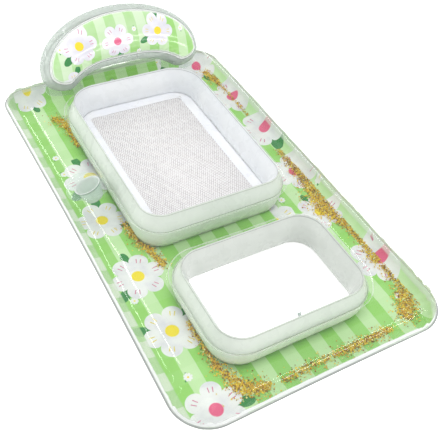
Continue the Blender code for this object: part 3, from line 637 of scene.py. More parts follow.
def bowed(grid):
    """The left side and the foot drawn in between their corners, and the head swelled out, in the plan frame.

    The swelling fades from the seam down to the flat underside.
    """
    half, foot, head = RING[:3]
    x, y = grid[..., 0], grid[..., 1]
    along = np.clip((y - foot - 0.10) / (head - foot - 0.20), 0.0, 1.0)
    side = LEFT_BOW * np.sin(np.pi * along) ** 1.3 * np.clip((-x - 0.33) / (half - 0.33), 0.0, 1.0)
    across = np.clip((x + half - 0.10) / (2 * half - 0.20), 0.0, 1.0)
    end = FOOT_BOW * np.sin(np.pi * across) ** 1.3 * np.clip((foot + 0.15 - y) / 0.15, 0.0, 1.0)
    near = np.clip((y - (head - 0.19)) / 0.15, 0.0, 1.0)
    swell = np.interp(x, *zip(*HEAD_SWELL)) * near * near * (3.0 - 2.0 * near)
    if grid.shape[-1] > 2:
        swell = swell * np.clip(grid[..., 2] / SEAM_HEIGHT, 0.0, 1.0) ** 1.5
    moved = grid.copy()
    moved[..., 0] += side
    moved[..., 1] += end + swell
    return moved


def home_plan(flat):
    """Where places of the row frame's plan lay before the ring was bowed."""
    plan = flat - np.array((0.0, SHIFT))
    return 2 * plan - bowed(plan)


def unbowed(mesh):
    """A mesh's points in the plan before it was bowed."""
    return home_plan(points_of(mesh)[:, :2])


def store(mesh, name, values):
    """Keep a number for each point, which a material reads."""
    field = mesh.attributes.new(name, "FLOAT", "POINT")
    field.data.foreach_set("value", np.asarray(values, dtype=np.float32))


def points_of(mesh):
    """A mesh's points as an array."""
    flat = np.empty(len(mesh.vertices) * 3, dtype=np.float32)
    mesh.vertices.foreach_get("co", flat)
    return flat.reshape(-1, 3).astype(float)


def perimeter(loop):
    """Distance along a closed loop of points."""
    steps = np.linalg.norm(np.roll(loop, -1, 0) - loop, axis=1)
    return np.concatenate(((0.0,), np.cumsum(steps)[:-1]))


def corner_amount(points):
    """1 at the ring's outer corners and 0 along its straight sides."""
    half, foot, head, _, _ = RING
    x = np.clip((np.abs(points[..., 0]) - (half - 0.19)) / 0.10, 0.0, 1.0)
    y = np.clip((np.maximum(points[..., 1] - (head - 0.19), (foot + 0.21) - points[..., 1])) / 0.10, 0.0, 1.0)
    return np.clip(x * y, 0.0, 1.0)


def pleats(edge, along, share, seed):
    """Puckers that run in from the outer seam, stronger at the foot's corners."""
    base = ripple_value(edge, 6.0, seed)
    fine = ripple_value(edge, 17.0, seed + 4.0)
    corner = corner_amount(edge)
    tight = np.sin(2 * math.pi * (along / 0.046 + 1.3 * base))
    tight += 0.7 * np.sin(2 * math.pi * (along / 0.023 + 1.7 * fine))
    tight *= 0.0030 * corner * np.where(edge[:, 1] > 0.0, 0.22, 1.0)
    wide = 0.0007 * np.sin(2 * math.pi * (along / 0.130 + 1.3 * base))
    height = (tight + wide) * np.clip(0.6 + 1.6 * fine, 0.2, 1.6)
    reach = np.exp(-((share[:, None] - 0.07) / (0.09 + 0.04 * corner[None, :])) ** 2)
    return height[None, :] * reach


def ring_grids(grow, shares, height, amount, seed):
    """The ring's two halves as grids from the outer seam to the collars."""
    grids = []
    for sizes, boundary in zip((SEAT, LEG), ring_boundaries()):
        hole = outline(*grown(sizes, grow))
        inward = hole - boundary
        inner = boundary + inward / np.linalg.norm(inward, axis=1, keepdims=True) * SEAM_FLANGE
        plan = np.stack([boundary, inner] + [inner + (hole - inner) * s for s in shares])
        grid = lifted(plan, height(plan))
        on_seam = (np.abs(boundary[:, 1] - SPLIT) > 1e-6).astype(float)
        normal = grid_normals(grid)
        normal *= np.sign(normal[..., 2:3] + 1e-9)
        rows = np.concatenate(((0.0, 0.0), shares))
        shift = pleats(boundary, perimeter(boundary), rows, seed) * on_seam * amount
        shift[:2] *= 0.12
        swell = ripple_value(grid, 3.5, seed + 9.0) * 0.0010 * amount
        swell *= np.sin(np.pi * np.clip(rows, 0, 1))[:, None]
        swell *= np.clip(np.abs(grid[..., 1] - SPLIT) / 0.05, 0.0, 1.0)
        grids.append(to_row(bowed(grid + normal * (shift + swell)[..., None])))
    return grids


def wall_grid(sizes, rim, side, bulge, seed):
    """A collar's wall from its foot to its rim flange."""
    shares, bulges = zip(*WALL)
    levels = np.linspace(0.0, 1.0, WALL_ROWS)
    bulge_at = np.interp(levels, shares, bulges)
    smooth = np.convolve(np.pad(bulge_at, 1, mode="edge"), (0.25, 0.5, 0.25), mode="valid")
    smooth[0], smooth[-1] = bulges[0], 0.0
    foot = SHEET + GAP
    grid = [lifted(outline(*grown(sizes, side * (bulge * amount + GAP / 2))), foot + (rim - foot) * level)
            for level, amount in zip(levels, smooth)]
    grid.append(grid[-1] + np.array((0.0, 0.0, RIM_FLANGE)))
    grid = np.stack(grid)
    flow = ripple_value(grid * np.array((1.0, 1.0, 0.5)), 9.0, seed) * 0.0022
    flow += ripple_value(grid * np.array((1.0, 1.0, 0.25)), 30.0, seed + 2.0) * 0.0008
    hold = np.sin(np.pi * np.clip(np.concatenate((levels, (1.0,))), 0, 1)) ** 0.5
    return to_row(grid + grid_normals(grid) * (flow * hold[:, None])[..., None])


SHADERS = {
    "top": clear_film("clear_top", 0.010, (0.99, 1.0, 0.985), welds=True),
    "clear": clear_film("clear_gusset", 0.40, (0.965, 0.980, 0.970), edged=True),
    "patch": clear_film("clear_patch", 0.10, (0.96, 0.99, 0.97)),
    "print": ring_print(),
    "pillow": pillow_print(),
    "back": film_back(),
    "outer": milky_film("milky_outer", 0.80, rgb(248, 253, 247), rgb(240, 247, 239)),
    "inner": milky_film("milky_inner", 0.95, rgb(251, 253, 254), rgb(246, 249, 252)),
    "leg_inner": milky_film("milky_leg", 0.95, rgb(238, 242, 237), rgb(228, 233, 227)),
    "border": white_film(),
    "mesh": mesh_fabric(),
    "cup": cup_plastic(),
    "valve": soft_moulding("valve_moulding", rgb(224, 234, 230)),
    "flap": soft_moulding("valve_flap_moulding", rgb(206, 218, 212)),
}
# one gold in four tones: the mid gold itself, and painted sparkle on it, a painted bright tone, a painted
# dark tone as shade and a painted glint
GOLDS = [gold("gold_painted_bright", rgb(255, 226, 56), 0.42), gold("gold_mid", rgb(240, 188, 36), 0.44),
         gold("gold_painted_dark", rgb(168, 120, 18), 0.46), gold("gold_painted_glint", rgb(255, 250, 176), 0.40)]


def build_ring():
    """The clear top film and the printed bottom film."""
    shares = np.concatenate((np.linspace(0.02, 0.30, 15), np.linspace(0.325, 0.90, 21),
                             (0.94, 0.97, 0.99, 1.0)))
    mesh = mesh_from("ring_top_film", ring_grids(WELD_GROW, shares, top_height, 1.0, 3.0), True, (0, 0, 1))
    work = bmesh.new()
    work.from_mesh(mesh)
    open_disc(work, CUP_CENTRE, CUP_HOLE, 1.6)
    work.to_mesh(mesh)
    work.free()
    home = unbowed(mesh)
    store(mesh, "seam", -distance(home, RING))
    welds = [distance(home, grown(sizes, WELD_GROW)) for sizes in (SEAT, LEG)]
    store(mesh, "weld", np.minimum(*welds))
    piece("ring_top_film", mesh, SHADERS["top"], "ring", "ring_top_sheet", thickness=SHEET)
    shares = np.concatenate((np.linspace(0.02, 0.32, 14), (0.5, 0.75, 1.0)))
    grids = ring_grids(-OUTER_BULGE * WALL[0][1], shares, bottom_height, 0.55, 11.0)
    for grid in grids:
        grid[..., 2] = np.maximum(grid[..., 2], 0.0)
    mesh = mesh_from("ring_printed_film", grids, True, (0, 0, 1))
    fit_valve(mesh, "ring", GAP)
    store(mesh, "seam", -distance(unbowed(mesh), RING))
    piece("ring_printed_film", mesh, SHADERS["print"], "ring", "ring_bottom_sheet",
          back=SHADERS["back"], thickness=SHEET)


def open_disc(work, centre, radius, reach):
    """Open a round hole in a film: what is inside goes, and the edge is drawn onto the circle.

    A centre of two numbers is a circle in plan. The edge is looked for within reach times the radius.
    """
    size = len(centre)
    inside = [v for v in work.verts if (Vector(v.co[:size]) - centre).length < radius * 0.97]
    bmesh.ops.delete(work, geom=inside, context="VERTS")
    for v in {v for edge in work.edges if edge.is_boundary for v in edge.verts}:
        away = Vector(v.co[:size]) - centre
        if away.length < radius * reach:
            v.co[:size] = centre + away.normalized() * radius


def valve_place(name):
    """A valve's middle, its outward axis, and its base disc's underside, measured along the axis."""
    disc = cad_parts[f"{name}_valve_flange"]
    spots = np.array([disc.matrix_world @ v.co for v in disc.data.vertices])
    centre = (spots.min(0) + spots.max(0)) / 2
    axis = np.linalg.svd(spots - centre, full_matrices=False)[2][2]
    axis *= np.sign(axis[1])
    return Vector(centre), Vector(axis), float(((spots - centre) @ axis).min())


def fit_valve(mesh, name, drop):
    """Lay a film flat under a valve's base disc, drop below its underside, and open it for the stem."""
    centre, axis, under = valve_place(name)
    work = bmesh.new()
    work.from_mesh(mesh)
    for _ in range(2):
        near = {edge for face in work.faces if (face.calc_center_median() - centre).length < VALVE_REACH
                for edge in face.edges}
        bmesh.ops.subdivide_edges(work, edges=list(near), cuts=1, use_grid_fill=True)
    level = under - drop
    for v in work.verts:
        depth = (v.co - centre).dot(axis)
        across = v.co - centre - axis * depth
        if abs(depth) < 0.030 and across.length < VALVE_REACH:
            hold = min(max((VALVE_REACH - across.length) / (VALVE_REACH - VALVE_SEAT), 0.0), 1.0)
            v.co += axis * (level - depth) * hold * hold * (3.0 - 2.0 * hold)
            v.co.z = max(v.co.z, 0.0)
    open_disc(work, centre + axis * level, VALVE_HOLE, 1.45)
    work.to_mesh(mesh)
    work.free()


def build_collars():
    """The collars' walls."""
    for name, sizes, rim in (("seat", SEAT, SEAT_RIM), ("leg", LEG, LEG_RIM)):
        for part, side, bulge in (("outer", 1.0, OUTER_BULGE), ("inner", -1.0, INNER_BULGE)):
            label = f"{name}_{part}_film"
            mesh = mesh_from(label, [wall_grid(sizes, rim, side, bulge, side * 3.0 + rim * 50)], True)
            face_outward(mesh, Vector((0.0, (sizes[1] + sizes[2]) / 2 + SHIFT, 0.0)), side)
            if part == "inner":
                fit_valve(mesh, name, SHEET + GAP)
            store(mesh, "rim", rim + RIM_FLANGE - points_of(mesh)[:, 2])
            shader = SHADERS["leg_inner" if label == "leg_inner_film" else part]
            piece(label, mesh, shader, "ring", f"{name}_collar_{part}_wall", thickness=SHEET)


def build_seat():
    """The white border and the perforated panel."""
    inset = np.interp(0.32, *zip(*WALL)) * INNER_BULGE + 0.0016
    outer = outline(*grown(SEAT, -inset))
    half, foot, head = grown(SEAT, -inset - BORDER_WIDTH)[:3]
    inner = outline(half, foot, head, 0.015, 0.015)
    rows = []
    for share in np.linspace(0.0, 1.0, 9):
        flat = inner * (1 - share) + outer * share
        sag = -0.0022 * math.sin(math.pi * share) - 0.0012 * (1 - share)
        rows.append(lifted(flat, MESH_LEVEL + sag + ripple_value(flat, 8.0, 5.0) * 0.0012))
    mesh = mesh_from("seat_border_film", [to_row(np.stack(rows))], True, (0, 0, 1))
    piece("seat_border_film", mesh, SHADERS["border"], "ring", "mesh_border",
          thickness=THICK_SHEET)
    half, foot, head = half + MESH_OVERLAP, foot - MESH_OVERLAP + SHIFT, head + MESH_OVERLAP + SHIFT
    panel = piece("seat_mesh_fabric", perforated(half, foot, head), SHADERS["mesh"], "ring",
                  "seat_mesh", thickness=THICK_SHEET, offset=-1.0)
    wide, long = 2 * half, head - foot
    wide * long * CLOTH_SHARE


def panel_height(x, y, half, foot, head):
    """The slightly slack panel's height."""
    sag = (1 - (x / half) ** 2) * (1 - ((2 * y - foot - head) / (head - foot)) ** 2)
    return MESH_LEVEL - 0.0022 - 0.006 * sag


def perforated(half, foot, head):
    """A panel with staggered six-sided holes, each in its own cell of a grid."""
    columns, rows = round(2 * half / HOLE_PITCH), round((head - foot) / (HOLE_PITCH * 0.87))
    wide, tall = 2 * half / columns, (head - foot) / rows
    work = bmesh.new()
    index = {}

    def vert(x, y):
        x = min(max(x, -half), half)
        key = (round(x * 1e5), round(y * 1e5))
        if key not in index:
            index[key] = work.verts.new((x, y, panel_height(x, y, half, foot, head)))
        return index[key]

    for j in range(rows):
        low, high = foot + j * tall, foot + (j + 1) * tall
        odd = j % 2
        for i in range(-odd, columns):
            start = -half + (i + 0.5 * odd) * wide
            left, right = max(start, -half), min(start + wide, half)
            if right - left < wide * 0.6:
                work.faces.new((vert(left, low), vert(right, low), vert(right, high), vert(left, high)))
                continue
            x, y = (left + right) / 2, (low + high) / 2
            turns = [math.radians(60 * k + 30) for k in range(6)]
            ring = [vert(x + HOLE_RADIUS * math.cos(t), y + HOLE_RADIUS * math.sin(t)) for t in turns]
            corner = [vert(*spot) for spot in (
                (right, high), (x, high), (left, high), (left, low), (x, low), (right, low))]
            for k in range(6):
                work.faces.new((ring[k], corner[k], corner[(k + 1) % 6], ring[(k + 1) % 6]))
    bmesh.ops.recalc_face_normals(work, faces=work.faces)
    if sum(face.normal.z for face in work.faces) < 0:
        bmesh.ops.reverse_faces(work, faces=work.faces)
    return mesh_of("seat_mesh_fabric", work)


# Pillow
def tip_point(degrees):
    """A point on the left lobe's rounded tip."""
    turn = math.radians(degrees)
    return PILLOW_TIP_RADIUS * math.sin(turn) - PILLOW_TIP, PILLOW_TIP_RADIUS * (1.0 - math.cos(turn))


def pillow_edges():
    """Points of the crown edge and the arch edge, from the left lobe's tip to the right lobe's."""
    crown, inner = [], []
    for j in range(PILLOW_ARC_STEPS):
        turn = math.radians(90.0) * j / PILLOW_ARC_STEPS
        out = PILLOW_TIP + (PILLOW_HALF - PILLOW_TIP) * math.sin(turn)
        crown.append((-out, PILLOW_SHOULDER * (1 - math.cos(turn))))
        inner.append(tip_point(PILLOW_TIP_TURN * j / PILLOW_ARC_STEPS))
    crown_end = [(-x, z) for x, z in reversed(crown)]
    inner_end = [(-x, z) for x, z in reversed(inner)]
    reach, foot = tip_point(PILLOW_TIP_TURN)
    for j in range(PILLOW_SPAN_STEPS + 1):
        turn = math.radians(180.0) * (1.0 - j / PILLOW_SPAN_STEPS)
        crown.append((PILLOW_HALF * math.cos(turn), PILLOW_SHOULDER + PILLOW_RISE * math.sin(turn)))
        share = 1.0 - 2.0 * j / PILLOW_SPAN_STEPS
        inner.append((reach * share, foot + (PILLOW_ARCH - foot) * (1.0 - abs(share) ** PILLOW_POWER)))
    return np.array(crown + crown_end), np.array(inner + inner_end)


def gusset_radius():
    """Radius of the gusset band's round section."""
    return (GUSSET ** 2 / 4 + GUSSET_BULGE ** 2) / (2 * GUSSET_BULGE)


def pillow_loop():
    """Points round the pillow's face."""
    crown, inner = pillow_edges()
    return np.concatenate((crown[:-1], inner[:0:-1]))


def leaned(grid):
    """From the pillow's own upright frame to the row frame at rest."""
    return grid @ np.array(LEAN.transposed()) + np.array(PILLOW_AXIS)


def puckers(line, along, period, seeds, drift, clip):
    """Waves along a seam, with a strength that comes and goes."""
    wave = np.sin(2 * math.pi * (along / period + drift[0] * ripple_value(line, drift[1], seeds[0])))
    return wave * np.clip(0.7 + clip[0] * ripple_value(line, clip[1], seeds[1]), *clip[2:])


def pillow_face(side):
    """The front or back film: crowned, and puckered along its seam."""
    crown, inner = pillow_edges()
    width = np.linalg.norm(crown - inner, axis=1)
    fullness = (width / width.max()) ** 1.3
    shares = 0.5 - 0.5 * np.cos(np.pi * np.linspace(0.0, 1.0, 27))
    flat = inner[:, None] * (1 - shares[None, :, None]) + crown[:, None] * shares[None, :, None]
    depth = PILLOW_CROWN * fullness[:, None] * np.sqrt(np.clip(1 - (2 * shares - 1) ** 2, 0, 1))[None]
    y = side * (GUSSET / 2 + SHEET + GAP + depth)
    grid = np.stack((flat[..., 0], y, flat[..., 1] + GUSSET_BULGE - gusset_radius()), 2)
    along = np.concatenate(((0.0,), np.cumsum(np.linalg.norm(np.diff(crown, axis=0), axis=1))))
    for line, start, seed in ((crown, 1.0, 2.0), (inner, 0.0, 7.0)):
        wave = 0.0016 * puckers(line, along, 0.034, (seed, seed + 3), (1.2, 9.0), (1.4, 15.0, 0.2, 1.5))
        fall = np.exp(-((np.abs(shares - start) - 0.10) / 0.10) ** 2)
        grid[..., 1] += side * wave[:, None] * fall[None]
    return leaned(grid)


def gusset_grid():
    """The gusset band, bulged and wrinkled across."""
    loop = pillow_loop()
    along = np.roll(loop, -1, 0) - np.roll(loop, 1, 0)
    along /= np.linalg.norm(along, axis=1, keepdims=True)
    out = np.stack((-along[:, 1], along[:, 0]), 1)
    radius = gusset_radius()
    half = math.asin(GUSSET / 2 / radius)
    wave = 0.0014 * puckers(loop, perimeter(loop), 0.045, (5.0, 8.0), (1.4, 7.0), (1.5, 13.0, 0.1, 1.6))
    rows = []
    for share in np.linspace(-1.0, 1.0, 21):
        bulge = radius * (math.cos(half * share) - math.cos(half))
        fold = wave * (math.exp(-((abs(share) - 0.72) / 0.22) ** 2) + 0.25 * math.exp(-(share / 0.4) ** 2))
        place = loop + out * (bulge + fold * (abs(share) < 0.999))[:, None]
        depth = np.full(len(loop), radius * math.sin(half * share))
        rows.append(np.stack((place[:, 0], depth, place[:, 1] + GUSSET_BULGE - radius), 1))
    return leaned(np.stack(rows))


def seam_distance(mesh):
    """Distance of a mesh's points from the pillow's two welded seams."""
    loop = pillow_loop()
    share = np.linspace(0.0, 1.0, 12, endpoint=False)[:, None, None]
    dense = (loop[None] * (1 - share) + np.roll(loop, -1, 0)[None] * share).reshape(-1, 2)
    tree = kdtree.KDTree(2 * len(dense))
    for side in (-1.0, 1.0):
        depth = np.full(len(dense), side * GUSSET / 2)
        for place in leaned(np.stack((dense[:, 0], depth, dense[:, 1] + GUSSET_BULGE - gusset_radius()), 1)):
            tree.insert(place, 0)
    tree.balance()
    return [tree.find(point)[2] for point in points_of(mesh)]


def build_pillow():
    """The pillow's films and the weld patches under it."""
    for name, side, shader, slot, node in (
            ("pillow_front_film", -1.0, "pillow", "printed_film", "pillow_front_sheet"),
            ("pillow_back_film", 1.0, "clear", "clear_film", "pillow_back_sheet")):
        mesh = mesh_from(name, [pillow_face(side)], False, LEAN @ Vector((0, side, 0)))
        if side > 0.0:
            fit_valve(mesh, "pillow", SHEET + GAP)
        store(mesh, "edge", seam_distance(mesh))
        piece(name, mesh, SHADERS[shader], "pillow", node, thickness=SHEET)
    mesh = mesh_from("pillow_gusset_film", [gusset_grid()], True)
    face_outward(mesh, PILLOW_MIDDLE)
    store(mesh, "edge", seam_distance(mesh))
    piece("pillow_gusset_film", mesh, SHADERS["clear"], "pillow", "pillow_gusset",
          thickness=SHEET)
    build_patch("left")
    build_patch("right")


def build_patch(label):
    """A rounded weld patch on the top film under a lobe."""
    low, high = (np.array(corner)[:2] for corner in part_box(f"pillow_{label}_tab"))
    half = (high - low) / 2 - 0.001
    turns = np.linspace(0.0, 2 * math.pi, 64, endpoint=False)
    spoke = np.stack((np.cos(turns), np.sin(turns)), 1)
    spoke = np.sign(spoke) * np.abs(spoke) ** 0.6
    rows = []
    for share in np.linspace(0.0, 1.0, 12):
        flat = (low + high) / 2 + half * spoke * share
        height = top_height(home_plan(flat)) + SHEET + 2 * GAP + 0.0004 * math.sin(share * 30.0)
        rows.append(lifted(flat, height))
    mesh = mesh_from(f"pillow_{label}_patch", [np.stack(rows)], True, (0, 0, 1))
    piece(f"pillow_{label}_patch", mesh, SHADERS["patch"], "ring", f"pillow_{label}_tab",
          thickness=THICK_SHEET)


# Cup holder
def cup_matrix():
    """The cup's frame, with Z along its axis and the origin at its rim."""
    out, head = (math.tan(math.radians(tilt)) for tilt in (CUP_TILT_OUT, CUP_TILT_HEAD))
    lean = Vector((-out, head, 1.0)).normalized()
    turn = Vector((0, 0, 1)).rotation_difference(lean).to_matrix()
    height = top_height(np.array((CUP_CENTRE.x, CUP_CENTRE.y - SHIFT)))
    return Matrix.Translation((CUP_CENTRE.x, CUP_CENTRE.y, float(height) + CUP_STAND)) @ turn.to_4x4()


def on_top_film(flat):
    """Places in the row frame's plan, lifted just onto the top film."""
    return lifted(flat, top_height(home_plan(flat)) + SHEET + 0.0015)


def cup_profile():
    """The outer skin, and the whole closed section from the floor's inside over the lip to its underside."""
    outer = [(CUP_RIM, -0.0025), (CUP_RIM - 0.0004, -0.006), (CUP_RIM - 0.0008, -0.010),
             (CUP_RIM - 0.0012, -0.013)]
    turns = [math.radians(15.0 * k) for k in range(7)]
    base = [(CUP_BASE + CUP_ROUND * (math.cos(t) - 1), CUP_ROUND * (1 - math.sin(t)) - CUP_DEPTH)
            for t in turns]
    outer += base
    inner = [(radius - CUP_WALL, height + CUP_WALL) for radius, height in reversed(base)]
    inner += [(CUP_RIM - CUP_WALL - 0.0008, -0.010), (CUP_RIM - CUP_WALL, -CUP_LIP)]
    lip = [(CUP_RIM + 0.0018 + CUP_LIP * math.sin(math.radians(t)), CUP_LIP * (math.cos(math.radians(t)) - 1))
           for t in range(-60, 181, 30)]
    return outer, [(0.0, -CUP_DEPTH + CUP_WALL)] + inner + lip + outer + [(0.0, -CUP_DEPTH)]


def build_cup():
    """The tapered cup with a rolled lip and a rounded base, and the film ring that carries it."""
    place = cup_matrix()
    turns = np.linspace(0.0, 2 * math.pi, 72, endpoint=False)
    circle = np.stack((np.cos(turns), np.sin(turns)), 1)
    outer, profile = cup_profile()
    rings = [lifted(radius * circle, height) for radius, height in profile]
    mesh = mesh_from("cup_moulding", [np.stack(rings)], True)
    spots = points_of(mesh)
    radii, levels = zip(*outer[::-1])
    skin = np.interp(spots[:, 2], levels, radii)
    within = np.hypot(spots[:, 0], spots[:, 1]) < skin - CUP_WALL / 2
    within &= spots[:, 2] > -CUP_DEPTH + CUP_WALL / 2
    # painted light and shade: the inner skin and the lip's top are marked to be painted pale, and the outer
    # skin just under the lip to be painted dark
    lip_low = -0.0016
    store(mesh, "inside", within | (spots[:, 2] > lip_low))
    store(mesh, "painted_shade_under_lip", ~within & (spots[:, 2] < lip_low) & (spots[:, 2] > -0.0105))
    mesh.transform(place)
    piece("cup_moulding", mesh, SHADERS["cup"], "ring", "cup_holder")
    rows = [np.array([place @ Vector((x, y, -0.0042)) for x, y in circle * (CUP_RIM + reach)])
            for reach in (0.0006, 0.0030, 0.0062)]
    lip_row = rows[-1]
    over = on_top_film(np.array(CUP_CENTRE) + circle * (CUP_HOLE - 0.001))
    rows += [lip_row * (1 - share) + over * share for share in (0.35, 0.7)]
    rows += [on_top_film(np.array(CUP_CENTRE) + circle * reach)
             for reach in np.linspace(CUP_HOLE - 0.001, CUP_HOLE + 0.015, 5)]
    mesh = mesh_from("cup_weld_film", [np.stack(rows)], True, (0, 0, 1))
    piece("cup_weld_film", mesh, SHADERS["patch"], "ring", "cup_holder_weld_ring",
          thickness=SHEET)


# Flakes
# Each drift: points along it in the row frame, with the spread and the number of flakes near each
CLUMP, FLAKE_SHARE = 0.0042, 1.35
FLAKE_RADII, FLAKE_HALF_THICKNESS, FLAKE_TILT = (0.0016, 0.0032), 0.00012, 0.45
# a drift's flakes lie mostly close and some farther out, and are heaped a little
CLOSE_SHARE, CLOSE, FAR, HEAPED = 0.7, 0.45, 1.05, 0.0016
DRIFTS = {
    "head_left": (
        (-0.332, 0.930, 0.020, 160), (-0.306, 0.905, 0.024, 330), (-0.300, 0.850, 0.010, 110),
        (-0.298, 0.790, 0.014, 200), (-0.297, 0.730, 0.008, 60)),
    "left_rail": (
        (-0.308, 0.245, 0.012, 150), (-0.300, 0.190, 0.016, 260), (-0.290, 0.144, 0.017, 300),
        (-0.276, 0.080, 0.014, 230), (-0.262, 0.010, 0.012, 140)),
    "leg_left": ((-0.298, -0.250, 0.007, 120), (-0.297, -0.360, 0.011, 200), (-0.293, -0.445, 0.013, 180)),
    "foot_left": (
        (-0.286, -0.470, 0.015, 260), (-0.268, -0.528, 0.024, 560), (-0.232, -0.562, 0.024, 460),
        (-0.182, -0.574, 0.010, 60)),
    "foot_beam": (
        (-0.130, -0.578, 0.014, 150), (-0.040, -0.574, 0.016, 260), (0.120, -0.574, 0.018, 340),
        (0.230, -0.574, 0.017, 240), (0.310, -0.574, 0.010, 60)),
    "foot_right": (
        (0.470, -0.335, 0.012, 240), (0.464, -0.455, 0.022, 360), (0.446, -0.510, 0.032, 460),
        (0.408, -0.550, 0.026, 200)),
    "right_rail": (
        (0.466, 0.372, 0.012, 260), (0.468, 0.250, 0.018, 420), (0.466, 0.158, 0.022, 560),
        (0.452, 0.076, 0.036, 900), (0.450, -0.020, 0.030, 520), (0.466, -0.110, 0.014, 260),
        (0.468, -0.200, 0.010, 260), (0.468, -0.300, 0.018, 340)),
    "head_right": (
        (0.448, 1.015, 0.014, 150), (0.458, 0.965, 0.028, 330), (0.466, 0.900, 0.012, 90),
        (0.468, 0.780, 0.007, 70), (0.466, 0.640, 0.006, 20)),
}


def flake(work, centre, radius, normal, turn, material):
    """A thin six-sided flake."""
    lay = Vector((0, 0, 1)).rotation_difference(normal).to_matrix()
    turns = [turn + math.radians(60 * k) for k in range(6)]
    rim = [lay @ Vector((radius * math.cos(t), radius * math.sin(t), 0)) for t in turns]
    low, high = ([work.verts.new(centre + p + normal * half) for p in rim]
                 for half in (-FLAKE_HALF_THICKNESS, FLAKE_HALF_THICKNESS))
    faces = [work.faces.new(low[::-1]), work.faces.new(high)]
    faces += [work.faces.new((low[k], low[(k + 1) % 6], high[(k + 1) % 6], high[k])) for k in range(6)]
    for face in faces:
        face.material_index = material


def build_flakes():
    """Loose gold flakes lying in drifts on the printed film."""
    for name, places in DRIFTS.items():
        draw = random.Random(f"glitter_drift_{name}")
        work = bmesh.new()
        for (*here, spread, count), (*there, spread_there, _) in zip(places, places[1:] + places[-1:]):
            for _ in range(round(count * FLAKE_SHARE)):
                share = draw.random()
                centre = Vector(here).lerp(Vector(there), share)
                loose = CLOSE if draw.random() < CLOSE_SHARE else FAR
                loose_at = Vector((draw.gauss(0, loose), draw.gauss(0, loose)))
                centre += loose_at * (spread + (spread_there - spread) * share)
                radius = draw.uniform(*FLAKE_RADII)
                floor = floor_height(centre) + SHEET + radius * 0.5 + abs(draw.gauss(0, 0.6)) * HEAPED
                if room_here(centre, radius):
                    tilt = [draw.gauss(0, FLAKE_TILT) for _ in range(2)]
                    normal = Vector((*tilt, 1.0)).normalized()
                    spot = Vector((centre.x, centre.y, floor))
                    flake(work, spot, radius, normal, draw.random() * 6.3, tone_here(centre, draw))
        mesh = mesh_of(f"gold_flakes_{name}", work)
        piece(mesh.name, mesh, GOLDS[0], "ring", f"glitter_drift_{name}")
        for shader in GOLDS[1:]:
            mesh.materials.append(shader)


def tone_here(place, draw):
    """A flake's painted tone, in place of how it catches the light: bright, mid, dark as painted shade, or a
    painted glint. Flakes that lie together get the same tone.
    """
    clump = random.Random(f"{round(place.x / CLUMP)} {round(place.y / CLUMP)}")
    return (clump if draw.random() < 0.8 else draw).choice((0, 0, 0, 0, 1, 1, 1, 2, 2, 3))


def floor_height(place):
    """Height of the printed film's outer face at a place in the row frame."""
    return float(bottom_height(np.array((place.x, place.y - SHIFT))))


def room_here(place, radius):
    """True where a flake lies between the seam and the collars."""
    spot = np.array((place.x, place.y - SHIFT))
    clear = min(float(distance(spot, grown(SEAT, 0.006))), float(distance(spot, grown(LEG, 0.006))))
    return clear > radius and float(-distance(spot, RING)) > 0.030 + radius


# Valves, stage, camera
def dress_valves():
    """Materials for the valves' own CAD nodes."""
    for name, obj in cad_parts.items():
        if "_valve_" in name:
            flap = name.endswith("_flap")
            obj.data.materials.clear()
            obj.data.materials.append(SHADERS["flap" if flap else "valve"])


def seen_plainly(tree):
    """1 for the rays that see the background as it is: the camera's, reflections and see-through ones."""
    path = tree.nodes.new("ShaderNodeLightPath")
    flows = [Flow(path.outputs[f"Is {kind} Ray"]) for kind in ("Camera", "Glossy", "Transmission")]
    return flows[0].most(*flows[1:])


def build_floor():
    """A white floor that keeps the shadow."""
    reach, level = 12.0, -0.0006
    corners = np.array([[(x, y, level) for x in (-reach, reach)] for y in (-reach, reach)])
    floor = add_object("floor", mesh_from("floor", [corners], False, (0, 0, 1)))
    paint = Paint("floor_white")
    matte = paint.node("BsdfDiffuse", Color=(0.93, 0.93, 0.93, 1.0))
    both = connected(paint.node("AddShader").node, matte, paint.node("Emission", Strength=0.62))
    floor.data.materials.append(paint.done(paint.blend(seen_plainly(paint.tree), matte, both)))


def build_world():
    """A white world, a little dimmer as a light than as a background."""
    world = bpy.data.worlds.new("studio")
    bpy.context.scene.world = world
    world.use_nodes = True
    tree = world.node_tree
    tree.nodes.clear()
    strength = seen_plainly(tree).ramp(0.0, 1.0, 0.96, 1.0)
    background = connected(tree.nodes.new("ShaderNodeBackground"), (1.0, 1.0, 1.0, 1.0), strength)
    feed(tree.nodes.new("ShaderNodeOutputWorld").inputs["Surface"], background)


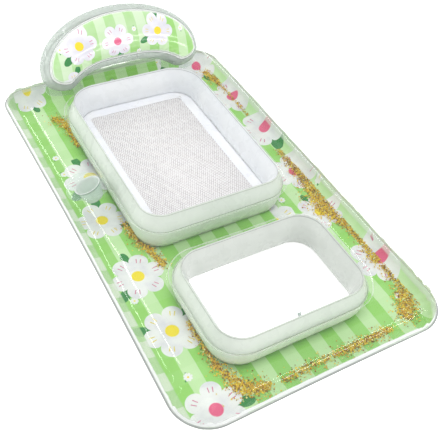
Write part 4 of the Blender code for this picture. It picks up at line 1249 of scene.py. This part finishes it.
# Each lamp: its name, place, target, size, watts, and the direction of its long side
ALONG, ACROSS = Vector((0.0, 1.0, 0.0)), Vector((1.0, 0.0, 0.0))
LAMPS = (
    ("left_strip", (-2.15, 1.65, 1.15), (-0.40, 0.25, 0.1), (2.3, 0.19), 9.5, ALONG),
    ("top_strip", (-0.75, 1.75, 2.10), (-0.40, 0.30, 0.1), (2.3, 0.17), 9.5, ALONG),
    ("right_strip", (2.30, 1.65, 0.95), (0.42, 0.25, 0.1), (2.3, 0.20), 5.0, ALONG),
    ("low_strip", (1.25, -1.75, 0.85), (0.0, 1.02, 0.30), (1.7, 0.09), 3.6, ACROSS),
    ("mid_strip", (1.15, -1.75, 1.45), (0.0, 1.02, 0.30), (1.7, 0.09), 3.6, ACROSS),
    ("soft", (-1.2, -2.2, 2.8), (0.0, 0.2, 0.0), (1.8, 1.8), 6.0, ALONG),
)


def build_lamps():
    """Soft strips for the highlights, and one wide lamp."""
    for name, place, target, size, watts, side in LAMPS:
        lamp = bpy.data.lights.new(name, "AREA")
        lamp.shape = "RECTANGLE"
        lamp.size, lamp.size_y = size
        lamp.energy = watts
        obj = add_object(name, lamp)
        obj.location = place
        facing = (Vector(target) - Vector(place)).normalized()
        along = (side - facing * facing.dot(side)).normalized()
        obj.rotation_euler = Matrix((along, along.cross(facing), -facing)).transposed().to_euler()


def build_camera():
    """The photograph's camera."""
    azimuth, elevation, roll = math.radians(-34.961), math.radians(45.449), math.radians(7.931)
    target, reach, focal_pixels, frame_pixels = Vector((0.038046, 0.130018, 0.0)), 2.6339, 686.585, 439.0
    level = math.cos(elevation)
    back = Vector((math.sin(azimuth) * level, -math.cos(azimuth) * level, math.sin(elevation)))
    right = Vector((math.cos(azimuth), math.sin(azimuth), 0.0))
    up = back.cross(right)
    across = right * math.cos(roll) + up * math.sin(roll)
    above = -right * math.sin(roll) + up * math.cos(roll)
    camera = bpy.data.cameras.new("camera")
    camera.sensor_width = 36.0
    camera.lens = focal_pixels / frame_pixels * camera.sensor_width
    obj = add_object("camera", camera)
    turned = Matrix((across, above, back)).transposed().to_4x4()
    obj.matrix_world = Matrix.Translation(target + back * reach) @ turned
    bpy.context.scene.camera = obj


build_floor()
build_world()
build_lamps()
build_camera()
build_ring()
build_collars()
build_seat()
build_pillow()
build_cup()
build_flakes()
dress_valves()
bpy.context.scene.view_settings.view_transform = "Standard"
